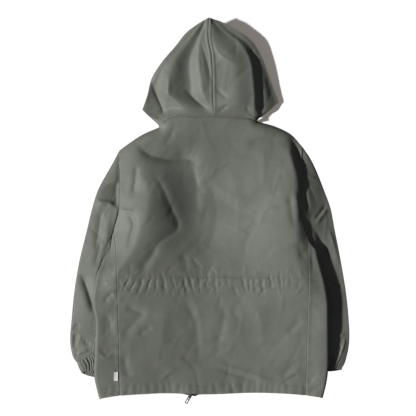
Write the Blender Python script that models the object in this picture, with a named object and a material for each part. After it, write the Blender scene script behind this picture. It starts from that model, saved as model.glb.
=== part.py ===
"""A hooded field jacket that lies face down on a flat surface, its back up and its hood laid out above it.

Every cut piece is a thin wall of cloth: a flat outline filled with points, then laid in the jacket's form.
Tables are in millimetres: X across (the wearer's left is -X), Y towards the hood, Z up from the surface.
"""
import math

import bmesh
import bpy
import numpy as np
from mathutils import Matrix, Vector
from mathutils.geometry import delaunay_2d_cdt
from mathutils.kdtree import KDTree

MM = 0.001
WALL = 1.4            # two layers of satin at a seam allowance, evened out
SEAM_GAP = 0.3        # between the pieces at a seam
SEAM_MATCH = 0.1      # two pieces' points this near are the same place on their seam
STEP = 34.0           # spacing of the points in a panel
FOLD_RADIUS = 8.0     # the rounded fold at each side of the body
SLEEVE_RADIUS = 7.0   # the rounded folds along a sleeve
TURN = FOLD_RADIUS * math.pi / 2
LAYER_GAP = 1.8       # least air between the body and a sleeve that lies beneath it
LEFT, RIGHT = -1, 1

# Where the side folds of the body run. Above the underarm a fold is only the line that the armhole cuts off.
# "mid" is the height of the middle of the fold: the sides ride over the sleeves.
SIDE_FOLD = {
    LEFT: dict(y=(-510, -452, -369, -282, -250, -194, -162, -142, -60, 60, 190),
               x=(-301, -313, -311, -311, -317, -311, -304, -295, -292, -295, -300),
               mid=(9, 17, 27, 30, 30, 28, 26, 22, 12, 8, 8)),
    RIGHT: dict(y=(-510, -466, -428, -350, -282, -242, -193, -150, -113, -40, 60, 190),
                x=(306, 316, 320, 320, 319, 318, 310, 299, 290, 290, 293, 298),
                mid=(9, 14, 20, 28, 30, 30, 30, 28, 24, 13, 8, 8)),
}

# The back, read across at each height Y: a ridge over each tucked sleeve and a hollow down the middle.
BACK_SECTIONS = dict(
    y=(-510, -455, -401, -347, -293, -239, -158, -104, -50, 4, 58, 112, 165, 257),
    ridge_l_x=(-270, -270, -270, -272, -275, -268, -238, -200, -178, -168, -157, -172, -165, -90),
    ridge_l_z=(16, 25, 31, 34, 38, 40, 49, 54, 58, 58, 48, 42, 35, 38),
    mid_x=(20, 60, 60, 60, 43, 13, 0, -10, -20, -16, -10, -20, 30, 5),
    mid_z=(9, 11, 14, 18, 24, 28, 28, 25, 22, 20, 19, 19, 22, 40),
    ridge_r_x=(259, 259, 246, 252, 262, 280, 250, 232, 214, 212, 212, 212, 190, 95),
    ridge_r_z=(13, 18, 26, 32, 36, 42, 53, 57, 60, 57, 52, 46, 33, 38),
)

SHOULDER = {LEFT: [(-140, 228), (-185, 208), (-219, 186), (-246, 166)],
            RIGHT: [(131, 244), (180, 230), (222, 208), (250, 177)]}
SHOULDER_MID = 15.0   # height of the fold along the shoulder seam
SHOULDER_ROUND = 30.0 # how far from the seam the fold has rounded off

NECK_BACK = [(-140, 228), (-113, 246), (-81, 256), (-27, 257), (11, 257), (61, 255), (100, 252), (131, 244)]
NECK_FRONT = {LEFT: [(-140, 228), (-130, 190), (-86, 154), (-12, 139)],
              RIGHT: [(131, 244), (124, 200), (76, 154), (-2, 139)]}
NECK_STEPS = (0, 0.025, 0.07, 0.14, 0.27, 0.46, 0.7, 1.0)   # close together where the seam turns

# The armhole: down the back to the side-back seam, then under the arm and up the front.
ARMHOLE_BACK = {LEFT: [(-246, 166), (-245, 58), (-247, 2), (-261, -50)],
                RIGHT: [(250, 177), (248, 112), (246, 31), (247, -31), (265, -77)]}
UNDERARM = {LEFT: -142, RIGHT: -113}
ARMHOLE_PIECES = 7    # down the back, which ends where the side-back seam meets the armhole
ARMHOLE_FRONT = {LEFT: [(-266, -93), (-240, -23), (-233, 58), (-246, 166)],
                 RIGHT: [(258, -72), (235, -7), (230, 74), (250, 177)]}
SIDE_BACK_SEAM = {LEFT: [(-261, -50), (-254, -109), (-249, -239), (-246, -374), (-245, -496)],
                  RIGHT: [(265, -77), (265, -209), (262, -340), (261, -496)]}

HEM = dict(x=(-320, -301, -265, -184, -108, 0, 146, 235, 307, 325),
           y=(-508, -506, -500, -494, -491, -494, -491, -495, -503, -505))
ZIP_LINE = [(-7, 139), (-8, 123), (-16, -104), (-32, -320), (-46, -460), (-53, -500)]
ZIP_HALF_GAP = 6.5    # from the zip's middle to the edge of each front
ZIP_FOOT_GAP = 9.0    # the same beside the bottom slider

# The sleeves: outer is the fold seen in the outline, inner is the fold that lies beneath the body.
SLEEVE_OUTER = {
    LEFT: [(-246, 166), (-264, 131), (-282, 100), (-305, 57), (-319, 14), (-335, -51), (-356, -138),
           (-370, -224), (-378, -310), (-380, -332), (-378, -375), (-372, -397), (-361, -413)],
    RIGHT: [(250, 177), (273, 143), (294, 100), (311, 57), (327, 14), (340, -51), (357, -138),
            (371, -224), (379, -310), (380, -332), (377, -375), (372, -397)],
}
SLEEVE_INNER = {
    LEFT: [(-295, -142), (-310, -160), (-310, -180), (-300, -204), (-286, -239), (-278, -274),
           (-275, -309), (-281, -342), (-292, -363), (-301, -375)],
    RIGHT: [(290, -113), (308, -134), (306, -156), (292, -186), (281, -220), (275, -261),
            (275, -298), (281, -333), (292, -360), (304, -378)],
}
SLEEVE_ROWS = 15
SLEEVE_CREST = dict(at=(0.0, 0.1, 0.3, 0.5, 0.7, 0.85, 1.0), z=(20, 24, 27, 26, 28, 28, 24))
CUFF_OUTER = {LEFT: [(-361, -413), (-355, -427), (-348, -441)],
              RIGHT: [(372, -397), (366, -414), (358, -430)]}
CUFF_INNER = {LEFT: [(-301, -375), (-292, -393), (-284, -412)],
              RIGHT: [(304, -378), (298, -397), (291, -415)]}
CUFF_GATHER = 0.02    # how far the gathers stand in and out, as a share of the cuff's half width
CUFF_LEAN = {LEFT: 7.0, RIGHT: 3.0}   # how far the lower lip of the mouth stands past the upper one

HOOD_SEAM = dict(points=[(-3, 519), (-4, 464), (5, 418), (7, 377), (9, 288), (11, 257)],
                 z=[56, 60, 58, 54, 45, 40])
# The hood's free edge: round the face opening to its corner, then in under the shoulder to the zip's top.
HOOD_RIM = {
    LEFT: dict(points=[(-3, 519), (-29, 505), (-65, 479), (-93, 446), (-132, 402), (-159, 359), (-170, 316),
                       (-184, 276), (-161, 254), (-137, 233), (-76, 190), (-12, 143)],
               z=[58, 52, 38, 27, 15, 9, 7, 6, 5, 2.5, 0.5, 0]),
    RIGHT: dict(points=[(-3, 519), (27, 510), (67, 490), (113, 460), (141, 415), (157, 374), (171, 337),
                        (187, 297), (158, 271), (127, 249), (62, 196), (-2, 143)],
                z=[58, 58, 54, 46, 34, 27, 20, 12, 8, 4, 0.5, 0]),
}
HOOD_CORNER = 7       # the row of the rim's table where the face opening ends and the chin edge starts
HOOD_SWELL = dict(at=(0, 0.25, 0.43, 0.6, 0.71, 1), z=(4, 18, 22, 13, 0, 0))

# Large folds of the upper side: depth below (-) or above (+) the form, half width, and the fold's line.
FOLDS = [
    ("trough at the left shoulder blade", -7, 20,
     [(-211, 180), (-178, 147), (-116, 134), (-54, 131), (-38, 60)]),
    ("trough down to the waist at the left", -6, 20, [(-165, 128), (-132, 70), (-105, 12), (-86, -45)]),
    ("edge of the left shoulder ridge", 5, 18, [(-197, 134), (-165, 45), (-170, -4), (-178, -53)]),
    ("trough under the right neck", -5, 20, [(100, 183), (155, 192), (205, 198)]),
    ("right shoulder ridge", 5, 16, [(205, 190), (234, 84), (246, 0), (266, -77)]),
    ("slope over the zip", 5, 24, [(-80, -206), (-62, -300), (-60, -400), (-70, -455)]),
    ("long fold above the hem", 4, 14, [(0, -411), (117, -443), (199, -466), (240, -443)]),
    ("fold at the left of the hem", 4, 16, [(-238, -342), (-205, -302), (-170, -290)]),
    ("hollow in the left of the hood", -15, 22, [(-62, 430), (-88, 350), (-92, 300)]),
    ("ridge beside the left of the hood seam", 7, 17, [(-40, 460), (-45, 380), (-30, 300)]),
    ("crease left of the hood seam", -8, 9, [(-26, 458), (-6, 394), (6, 328)]),
    ("ridge in the right of the hood", 7, 26, [(40, 440), (55, 370), (50, 300)]),
    ("fall in the right of the hood", -10, 20, [(118, 400), (122, 330), (112, 270)]),
]

# The zip: its sliders, and the tape behind each row of teeth.
TOP_SLIDER = (-8, 120)
BOTTOM_SLIDER = (-54, -502)
SLIDER_TURN = {"top": 180, "bottom": -29}   # degrees from a pull tab that points down the zip
SLIDER_LIFT = 4.6     # how far a slider holds the cloth off the surface
SLIDER_BASE = 4.0     # height of its under plate
HINGE_DROP = 1.2      # from the plate down to the bar that the pull tab turns on
CHAIN = 4.6           # from the under plate to the top of the teeth

MIDDLE = (-0.35, -3.1)   # the middle of the finished outline, which becomes the object's origin

CLOTH_COLOUR = (0.195, 0.205, 0.172, 1)
BRASS_COLOUR = (0.42, 0.40, 0.36, 1)


# ---- reading tables and lines -------------------------------------------------------------------------

def eased(t):
    """From 0 to 1 with soft ends."""
    t = np.clip(t, 0.0, 1.0)
    return t * t * (3.0 - 2.0 * t)


def read(stations, values, at):
    """A table's column at any station, on a smooth curve through its rows."""
    x = np.asarray(stations, float)
    v = np.asarray(values, float)
    at = np.clip(np.asarray(at, float), x[0], x[-1])
    row = np.clip(np.searchsorted(x, at) - 1, 0, len(x) - 2)
    slope = np.gradient(v, x)
    span = x[row + 1] - x[row]
    t = (at - x[row]) / span
    rise, drop = t * (1 - t) ** 2 * span, t * t * (t - 1) * span
    return v[row] * (1 - eased(t)) + v[row + 1] * eased(t) + rise * slope[row] + drop * slope[row + 1]


def line(points, pieces=0, fractions=None):
    """Points along a smooth line through the given ones: evenly spaced, or at fractions of its length."""
    p = np.asarray(points, float)
    chord = np.concatenate([[0], np.cumsum(np.linalg.norm(np.diff(p[:, :2], axis=0), axis=1))])
    fine = np.linspace(0, chord[-1], 400)
    smooth = np.stack([read(chord, p[:, k], fine) for k in range(p.shape[1])], axis=1)
    run = np.concatenate([[0], np.cumsum(np.linalg.norm(np.diff(smooth[:, :2], axis=0), axis=1))])
    if fractions is None:
        fractions = np.linspace(0, 1, pieces + 1)
    wanted = np.asarray(fractions) * run[-1]
    return np.stack([np.interp(wanted, run, smooth[:, k]) for k in range(p.shape[1])], axis=1)


def nearness(points, x, y):
    """Distance from each place to a line of points, and how far along the line its nearest point is."""
    best = np.full(np.shape(x), 1e9)
    along = np.zeros(np.shape(x))
    total = sum(math.dist(a, b) for a, b in zip(points, points[1:]))
    passed = 0.0
    for a, b in zip(points, points[1:]):
        length = math.dist(a, b)
        ux, uy = (b[0] - a[0]) / length, (b[1] - a[1]) / length
        run = np.clip((x - a[0]) * ux + (y - a[1]) * uy, 0, length)
        gap = np.hypot(x - a[0] - run * ux, y - a[1] - run * uy)
        closer = gap < best
        best = np.where(closer, gap, best)
        along = np.where(closer, (passed + run) / total, along)
        passed += length
    return best, along


# ---- the form of the body -----------------------------------------------------------------------------

def fold_x(side, y):
    return read(SIDE_FOLD[side]["y"], SIDE_FOLD[side]["x"], y)


def fold_mid(side, y):
    return read(SIDE_FOLD[side]["y"], SIDE_FOLD[side]["mid"], y)


SHOULDER_SEAM = {side: line(SHOULDER[side], 5) for side in (LEFT, RIGHT)}


def shoulder_weight(x, y):
    """0 on a shoulder seam, 1 beyond its rounded fold."""
    near = np.minimum(nearness(SHOULDER_SEAM[LEFT], x, y)[0], nearness(SHOULDER_SEAM[RIGHT], x, y)[0])
    t = np.clip((near - 0.05) / SHOULDER_ROUND, 0, 1)
    return np.sqrt(1 - (1 - t) ** 2)


def slider_lift(x, y):
    """The zip's sliders hold the cloth up where they lie beneath it."""
    lift = np.zeros(np.shape(x))
    for place in (TOP_SLIDER, BOTTOM_SLIDER):
        lift = lift + SLIDER_LIFT * np.exp(-((x - place[0]) / 34) ** 2 - ((y - place[1]) / 42) ** 2)
    return lift


def fold_relief(x, y):
    relief = np.zeros(np.shape(x))
    for _, depth, half_width, points in FOLDS:
        gap, along = nearness(points, x, y)
        relief = relief + depth * np.exp(-(gap / half_width) ** 2) * np.sin(math.pi * (0.12 + 0.76 * along))
    return relief


def front_height(x, y):
    """Outer face of the fronts, which lie beneath: flat on the surface, and over the sleeves at the sides."""
    z = slider_lift(x, y)
    for side in (LEFT, RIGHT):
        inward = (fold_x(side, y) - x) * side
        edge = np.maximum(fold_mid(side, y) - FOLD_RADIUS, 0)
        z = z + edge * (1 - eased((inward - 55) / 45))
    weight = shoulder_weight(x, y)
    return SHOULDER_MID * (1 - weight) + z * weight


def back_height(x, y):
    """Outer face of the upper side, from the landmarks of the back's sections."""
    b = {name: read(BACK_SECTIONS["y"], column, y) for name, column in BACK_SECTIONS.items() if name != "y"}
    knots_x = [fold_x(LEFT, y) + FOLD_RADIUS, b["ridge_l_x"], b["mid_x"], b["ridge_r_x"],
               fold_x(RIGHT, y) - FOLD_RADIUS]
    knots_z = [fold_mid(LEFT, y) + FOLD_RADIUS, b["ridge_l_z"], b["mid_z"], b["ridge_r_z"],
               fold_mid(RIGHT, y) + FOLD_RADIUS]
    z = knots_z[0] + 0.0 * x
    for k in range(4):
        t = eased((x - knots_x[k]) / (knots_x[k + 1] - knots_x[k]))
        z = z + (knots_z[k + 1] - knots_z[k]) * t
    edge_room = np.minimum(x - knots_x[0], knots_x[4] - x)
    z = z + fold_relief(x, y) * eased(edge_room / 20) + slider_lift(x, y)
    weight = shoulder_weight(x, y)
    return SHOULDER_MID * (1 - weight) + z * weight


def cloth_point(side, s, y):
    """The body's cloth by its distance s from the side fold: below 0 on the front, above 0 on the back."""
    s, y = np.asarray(s, float), np.asarray(y, float)
    turned = np.clip(s, -TURN, TURN) / FOLD_RADIUS
    inward = FOLD_RADIUS * (1 - np.cos(turned)) + np.maximum(np.abs(s) - TURN, 0)
    x = fold_x(side, y) - side * inward
    nose = fold_mid(side, y) + FOLD_RADIUS * np.sin(turned)
    z = np.where(s > TURN, back_height(x, y), np.where(s < -TURN, front_height(x, y), nose))
    return np.stack([x, y, z], axis=1)


def cloth_distance(side, x, y, layer):
    """The s of a place on the back (layer 1) or the front (layer -1)."""
    inward = (fold_x(side, y) - x) * side
    return layer * (TURN + np.maximum(inward - FOLD_RADIUS, 0))


# ---- seams and edges, each sampled once and shared by the pieces on both sides of it ------------------

def armhole(side):
    """(s, y) round the armhole from the shoulder down the back, under the arm and up the front."""
    back = line(ARMHOLE_BACK[side], 7)
    down = np.stack([cloth_distance(side, back[:, 0], back[:, 1], 1), back[:, 1]], axis=1)
    front = np.array(ARMHOLE_FRONT[side], float)
    rising = np.stack([cloth_distance(side, front[:, 0], front[:, 1], -1), front[:, 1]], axis=1)
    route = [tuple(down[-1]), (TURN * 0.9, UNDERARM[side] + 13), (0, UNDERARM[side]),
             (-TURN * 0.9, UNDERARM[side] + 6)] + [tuple(p) for p in rising]
    return np.concatenate([down, line(route, 14)[1:]])


def inside_shoulder(side):
    """A row of places a little inside the shoulder seam, where its fold has rounded off."""
    return SHOULDER_SEAM[side][1:-1] + [-7 * side, -12]


def side_back_seam(side):
    return line(SIDE_BACK_SEAM[side], 14)


def hem_y(x):
    return read(HEM["x"], HEM["y"], x)


def front_hem_y(x):
    """The lower layer shows a little below the back, most of all at the foot of the zip."""
    return hem_y(x) - 2.5 * np.exp(-((x + 60) / 110) ** 2) - 7 * np.exp(-((x + 50) / 13) ** 2)


def zip_x(y):
    p = np.array(ZIP_LINE[::-1], float)
    return read(p[:, 1], p[:, 0], y)


# ---- walls of cloth -----------------------------------------------------------------------------------

cloth = {}            # name: (points of the outer face, faces)


def inside(outline, x, y):
    """Which places lie inside a closed outline."""
    found = np.zeros(len(x), bool)
    for (ax, ay), (bx, by) in zip(outline, np.roll(outline, -1, axis=0)):
        crosses = (ay > y) != (by > y)
        found ^= crosses & (x < (bx - ax) * (y - ay) / (by - ay + 1e-12) + ax)
    return found


def filled(outline, columns_x, rows_y, extra):
    """Triangles inside an outline: on its points, on a grid that keeps clear of them, and on extra points."""
    gx, gy = np.meshgrid(columns_x, rows_y)
    gx, gy = gx.ravel(), gy.ravel()
    clear = nearness([tuple(p) for p in outline] + [tuple(outline[0])], gx, gy)[0]
    fold_column = np.abs(gx) <= TURN + 0.1
    keep = inside(outline, gx, gy) & (clear > np.where(fold_column, 0.3, 0.5) * STEP)
    points = [Vector(p) for p in outline] + [Vector(p) for p in zip(gx[keep], gy[keep])]
    points += [Vector(p) for p in extra]
    found = delaunay_2d_cdt(points, [], [list(range(len(outline)))], 1, 1e-6, True)
    flat = np.array([(p.x, p.y) for p in found[0]])
    faces = np.array([tuple(f) for f in found[2]])
    middle = flat[faces].mean(axis=1)
    return flat, [tuple(int(c) for c in f) for f in faces[inside(outline, middle[:, 0], middle[:, 1])]]


def add_cloth(name, points, faces, upward):
    """Keeps a piece's outer face, turned so that the highest part of it looks up (or down)."""
    points = np.asarray(points, float)
    total = 0.0
    for face in faces:
        a, b, c = points[face[0]], points[face[1]], points[face[2]]
        area = np.cross(b - a, c - a)
        if upward(*((a + b + c) / 3)):
            total += area[2]
    if total < 0:
        faces = [tuple(reversed(face)) for face in faces]
    cloth[name] = (points, faces)


def grid_faces(rows, columns, closed=False):
    span = columns if closed else columns - 1
    return [(i * columns + j, i * columns + (j + 1) % columns,
             (i + 1) * columns + (j + 1) % columns, (i + 1) * columns + j)
            for i in range(rows - 1) for j in range(span)]


def make_back():
    neck = line(NECK_BACK, 12)
    edges = [neck, SHOULDER_SEAM[RIGHT][1:]]
    edges.append(line(ARMHOLE_BACK[RIGHT], 7)[1:])
    edges.append(side_back_seam(RIGHT)[1:])
    right_foot, left_foot = side_back_seam(RIGHT)[-1], side_back_seam(LEFT)[-1]
    hem_x = np.linspace(right_foot[0], left_foot[0], 17)[1:-1]
    edges.append(np.stack([hem_x, hem_y(hem_x)], axis=1))
    edges.append(side_back_seam(LEFT)[::-1])
    edges.append(line(ARMHOLE_BACK[LEFT], 7)[::-1][1:])
    edges.append(SHOULDER_SEAM[LEFT][::-1][1:-1])
    outline = np.concatenate(edges)[::-1]
    extra = np.concatenate([inside_shoulder(LEFT), inside_shoulder(RIGHT)])
    flat, faces = filled(outline, np.arange(-255, 270, STEP), np.arange(-480, 245, STEP), extra)
    points = np.column_stack([flat, back_height(flat[:, 0], flat[:, 1])])
    add_cloth("back_panel", points, faces, lambda x, y, z: True)


def make_front(side, name):
    arm = armhole(side)
    seam = side_back_seam(side)
    seam_s = np.column_stack([cloth_distance(side, seam[:, 0], seam[:, 1], 1), seam[:, 1]])
    shoulder = SHOULDER_SEAM[side]
    shoulder_s = np.column_stack([cloth_distance(side, shoulder[:, 0], shoulder[:, 1], -1), shoulder[:, 1]])
    neck = line(NECK_FRONT[side], fractions=NECK_STEPS)
    neck_s = np.column_stack([cloth_distance(side, neck[:, 0], neck[:, 1], -1), neck[:, 1]])
    edge_y = np.linspace(neck[-1][1], -498, 20)
    gap = ZIP_HALF_GAP + (ZIP_FOOT_GAP - ZIP_HALF_GAP) * eased((-450 - edge_y) / 40)
    edge_x = zip_x(edge_y) + side * gap
    edge_s = np.column_stack([cloth_distance(side, edge_x, edge_y, -1), edge_y])
    edge_s[0] = neck_s[-1]
    hem_s = np.concatenate([np.linspace(edge_s[-1][0], -TURN, 10)[1:], [0, TURN]])
    hem_s = np.append(hem_s, (TURN + seam_s[-1][0]) / 2)
    hem_points = cloth_point(side, hem_s, np.full(len(hem_s), -500.0))
    hem_x = hem_points[:, 0]
    hem = np.column_stack([hem_s, np.where(hem_s > TURN, hem_y(hem_x), front_hem_y(hem_x))])
    edge_s[-1][1] = front_hem_y(edge_x[-1:])[0]
    outline = np.concatenate([edge_s, hem, seam_s[::-1], arm[ARMHOLE_PIECES + 1:], shoulder_s[::-1][1:],
                              neck_s[1:-1]])
    reach = abs(edge_s[:, 0]).max()
    beside_fold = TURN + STEP * 0.8
    columns = np.concatenate([np.arange(-beside_fold, -reach, -STEP), [-TURN, 0, TURN, beside_fold]])
    extra = inside_shoulder(side)
    extra = np.column_stack([cloth_distance(side, extra[:, 0], extra[:, 1], -1), extra[:, 1]])
    flat, faces = filled(outline, columns, np.arange(-480, 225, STEP), extra)
    points = cloth_point(side, flat[:, 0], flat[:, 1])
    # Both shoulder edges are the same line, whichever layer it is read on.
    add_cloth(name, points, faces, lambda x, y, z: side * x > 262 and y < -140 and z > 25)


def beneath_body(side, x, y):
    """How high a sleeve may come: under the body's side, and rising beyond its edge."""
    inward = (fold_x(side, y) - x) * side
    under_fold = fold_mid(side, y) - FOLD_RADIUS + np.maximum(-inward - 1, 0) * 0.55
    face = np.where(inward > FOLD_RADIUS, front_height(x, y), under_fold)
    return np.where(y < UNDERARM[side] - 4, face, 1e3)


def flat_ring(outer, inner, crest, fractions):
    """A flattened loop of sleeve from the outer fold over the top to the inner fold, and back beneath."""
    r = SLEEVE_RADIUS
    width = math.dist(outer, inner)
    turn = r * math.pi / 2
    length = width - 2 * r + 2 * turn
    rows = []
    for v in fractions:
        over = v <= 0.5
        a = (v if over else 1 - v) * 2 * length
        if a < turn:
            d, rise = r * (1 - math.cos(a / r)), r * math.sin(a / r)
        elif a > length - turn:
            d, rise = width - r * (1 - math.cos((length - a) / r)), r * math.sin((length - a) / r)
        else:
            d, rise = r + a - turn, r
        f = d / width
        z = r + rise + (crest - 2 * r) * math.sin(math.pi * f) ** 0.8 if over else r - rise
        rows.append((outer[0] + (inner[0] - outer[0]) * f, outer[1] + (inner[1] - outer[1]) * f, z))
    return np.array(rows)


def ring_fractions(side):
    """Where the armhole's points lie round the sleeve: 0 at the shoulder, 0.5 under the arm."""
    loop = armhole(side)
    under = int(np.argmin(np.abs(loop[ARMHOLE_PIECES:, 0]))) + ARMHOLE_PIECES
    run = np.concatenate([[0], np.cumsum(np.linalg.norm(np.diff(loop, axis=0), axis=1))])
    down, up = run[:under + 1] / run[under], (run[under:] - run[under]) / (run[-1] - run[under])
    return np.concatenate([down * 0.5, 0.5 + up[1:] * 0.5])


def sleeve_rings(side):
    loop = armhole(side)
    start = cloth_point(side, loop[:, 0], loop[:, 1])
    v = ring_fractions(side)
    outer, inner = line(SLEEVE_OUTER[side], SLEEVE_ROWS), line(SLEEVE_INNER[side], SLEEVE_ROWS)
    rings = []
    for k in range(SLEEVE_ROWS + 1):
        u = k / SLEEVE_ROWS
        crest = float(read(SLEEVE_CREST["at"], SLEEVE_CREST["z"], u))
        ring = flat_ring(outer[k], inner[k], crest, v)
        if k == 0:
            first = ring.copy()
        away = np.abs(v - 0.5) * 2
        plan = 1 - eased(u / (0.03 + 0.35 * eased(away / 0.4)))
        height = 1 - eased(u / (0.05 + 0.3 * away))
        ring[:, :2] += (start - first)[:, :2] * plan[:, None]
        ring[:, 2] += (start - first)[:, 2] * height
        if k:
            ceiling = beneath_body(side, ring[:, 0], ring[:, 1]) - LAYER_GAP
            ring[:, 2] = np.maximum(np.minimum(ring[:, 2], ceiling), np.where(v <= 0.5, 4.5, 0.0))
            ring[:, 2] = np.where(v > 0.5, np.maximum(ring[:, 2], 0), ring[:, 2])
        rings.append(ring[:-1])
    rings[0] = start[:-1]
    return rings


def make_sleeve(side, name):
    """One piece round the arm, its long edges 0.3 mm apart at the underarm seam."""
    rings = sleeve_rings(side)
    count = len(rings[0])
    order = [(ARMHOLE_PIECES + j) % count for j in range(count + 1)]
    points = np.concatenate([ring[order] for ring in rings])
    add_cloth(name, points, grid_faces(len(rings), count + 1), lambda x, y, z: z > 16)
    return rings[-1]


def make_cuff(side, name, first):
    """A gathered casing of elastic, open at its mouth."""
    v = ring_fractions(side)[:-1]
    outer, inner = line(CUFF_OUTER[side], 3), line(CUFF_INNER[side], 3)
    axis = np.array([outer[-1] + inner[-1] - outer[0] - inner[0]]) / 2
    axis = axis[0] / np.linalg.norm(axis)
    rings = [first]
    for k in (1, 2, 3):
        ring = flat_ring(outer[k], inner[k], 24 - 1.5 * k, np.append(v, 1.0))[:-1]
        lean = np.where(v <= 0.5, -1, 1) * np.sin(np.pi * (v % 0.5) * 2) * CUFF_LEAN[side] * k / 3
        ring[:, :2] += lean[:, None] * axis[None, :]
        middle = ring.mean(axis=0)
        spread = 1 + CUFF_GATHER * np.where(np.arange(len(v)) % 2, 1, -1)
        ring = middle + (ring - middle) * spread[:, None]
        ceiling = beneath_body(side, ring[:, 0], ring[:, 1]) - LAYER_GAP
        ring[:, 2] = np.maximum(np.minimum(ring[:, 2], ceiling), np.where(v <= 0.5, 5, 0.0))
        rings.append(ring)
    points = np.concatenate(rings)
    add_cloth(name, points, grid_faces(len(rings), len(v), closed=True), lambda x, y, z: z > 14)


def make_hood(side, name):
    """Half of the hood: from its centre seam and the neck seam out to the free edge round the face."""
    seam = line([p + (z,) for p, z in zip(HOOD_SEAM["points"], HOOD_SEAM["z"])], 9)
    neck = line(NECK_BACK, 12)
    middle = int(np.argmin(np.abs(neck[:, 0] - HOOD_SEAM["points"][-1][0])))
    neck_half = neck[middle::-1] if side == LEFT else neck[middle:]
    neck_half = np.column_stack([neck_half, back_height(neck_half[:, 0], neck_half[:, 1])])
    front = line(NECK_FRONT[side], fractions=NECK_STEPS)
    front = np.column_stack([front, front_height(front[:, 0], front[:, 1])])
    seam[-1] = neck_half[0]
    inner = np.concatenate([seam, neck_half[1:], front[1:]])
    rim_points = [p + (z,) for p, z in zip(HOOD_RIM[side]["points"], HOOD_RIM[side]["z"])]
    round_face = line(rim_points[:HOOD_CORNER + 1], 9 + len(neck_half) - 3)
    chin = line(rim_points[HOOD_CORNER:HOOD_CORNER + 3], 2)
    under = line(rim_points[HOOD_CORNER + 2:], fractions=NECK_STEPS)
    outer = np.concatenate([round_face, chin[1:], under[1:]])
    outer[-1] = inner[-1]
    outer[0] = inner[0]
    outer[-5:-1, 2] = front_height(outer[-5:-1, 0], outer[-5:-1, 1])
    count = len(inner)
    points, columns = [], 7
    for k in range(count):
        at = k / (count - 1)
        swell = max(float(read(HOOD_SWELL["at"], HOOD_SWELL["z"], at)), 0)
        for j in range(columns):
            t = j / (columns - 1)
            p = inner[k] * (1 - t) + outer[k] * t
            p[2] += swell * 4 * t * (1 - t) * (1.25 - 0.5 * t)
            relief = float(fold_relief(p[0:1], p[1:2])[0]) if p[1] > 262 else 0.0
            p[2] += relief * float(eased((1 - t) * 3))
            points.append(p)
    points = np.array(points)
    for k in range(10):
        crease = float(fold_relief(seam[k][0:1], seam[k][1:2])[0])
        points[k * columns][2] = seam[k][2] + 0.5 * crease * (0 < k < 9)
    faces = []
    for face in grid_faces(count, columns):
        kept = []
        for corner in face:
            row, column = divmod(corner, columns)
            corner = row * columns if row in (0, count - 1) else corner
            if corner not in kept:
                kept.append(corner)
        if len(kept) > 2:
            faces.append(tuple(kept))
    used = sorted({corner for face in faces for corner in face})
    place = {corner: i for i, corner in enumerate(used)}
    add_cloth(name, points[used], [tuple(place[c] for c in face) for face in faces], lambda x, y, z: y > 300)


def corner_normals():
    """For each piece its outward directions, shared by all the pieces that meet at a place."""
    places = np.concatenate([points for points, _ in cloth.values()])
    found = KDTree(len(places))
    for i, place in enumerate(places):
        found.insert(place, i)
    found.balance()
    group = np.array([min(i for _, i, _ in found.find_range(place, SEAM_MATCH)) for place in places])
    total = np.zeros((len(places), 3))
    first = 0
    for points, faces in cloth.values():
        for face in faces:
            ring = points[list(face)]
            normal = sum(np.cross(ring[i] - ring[0], ring[i + 1] - ring[0]) for i in range(1, len(face) - 1))
            for corner in face:
                total[group[first + corner]] += normal
        first += len(points)
    shared = total[group] / np.linalg.norm(total[group], axis=1)[:, None]
    ends = np.cumsum([len(points) for points, _ in cloth.values()])
    return dict(zip(cloth, np.split(shared, ends[:-1])))


def make_wall(name, normals, material, collection):
    """Gives a piece its thickness: edges drawn in by half a seam gap, the inner face a wall's depth inside.

    What would lie below the surface is raised onto it."""
    points, faces = cloth[name]
    edges = {}
    for face in faces:
        for a, b in zip(face, face[1:] + face[:1]):
            if (b, a) in edges:
                del edges[(b, a)]
            else:
                edges[(a, b)] = True
    n = normals[name]
    drawn = {}
    for a, b in edges:
        for corner in (a, b):
            inward = np.cross(n[corner], points[b] - points[a])
            drawn.setdefault(corner, []).append(inward / (np.linalg.norm(inward) + 1e-12))
    outer = points.copy()
    for corner, sides in drawn.items():
        if len(sides) == 2:
            both = sides[0] + sides[1]
            outer[corner] = points[corner] + both / max(1 + float(np.dot(*sides)), 0.35) * SEAM_GAP / 2
        else:
            mean = sum(sides)
            outer[corner] = points[corner] + mean / (np.linalg.norm(mean) + 1e-9) * SEAM_GAP / 2
    inner = outer - n * WALL
    sunk = np.maximum(-np.minimum(outer[:, 2], inner[:, 2]), 0)
    outer[:, 2] += sunk
    inner[:, 2] += sunk
    count = len(points)
    solid = [tuple(face) for face in faces]
    solid += [tuple(corner + count for corner in reversed(face)) for face in faces]
    for a, b in edges:
        # Both sides of a seam split this strip along the same diagonal, so that their walls stay parallel.
        if tuple(np.round(points[a], 1)) < tuple(np.round(points[b], 1)):
            solid += [(b, a, b + count), (a, a + count, b + count)]
        else:
            solid += [(b, a, a + count), (b, a + count, b + count)]
    mesh = bpy.data.meshes.new(name)
    mesh.from_pydata([tuple(p * MM) for p in np.concatenate([outer, inner])], [], solid)
    mesh.materials.append(material)
    mesh.shade_smooth()
    mesh.set_sharp_from_angle(angle=math.radians(50))
    collection.objects.link(bpy.data.objects.new(name, mesh))


# ---- zip ----------------------------------------------------------------------------------------------

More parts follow.
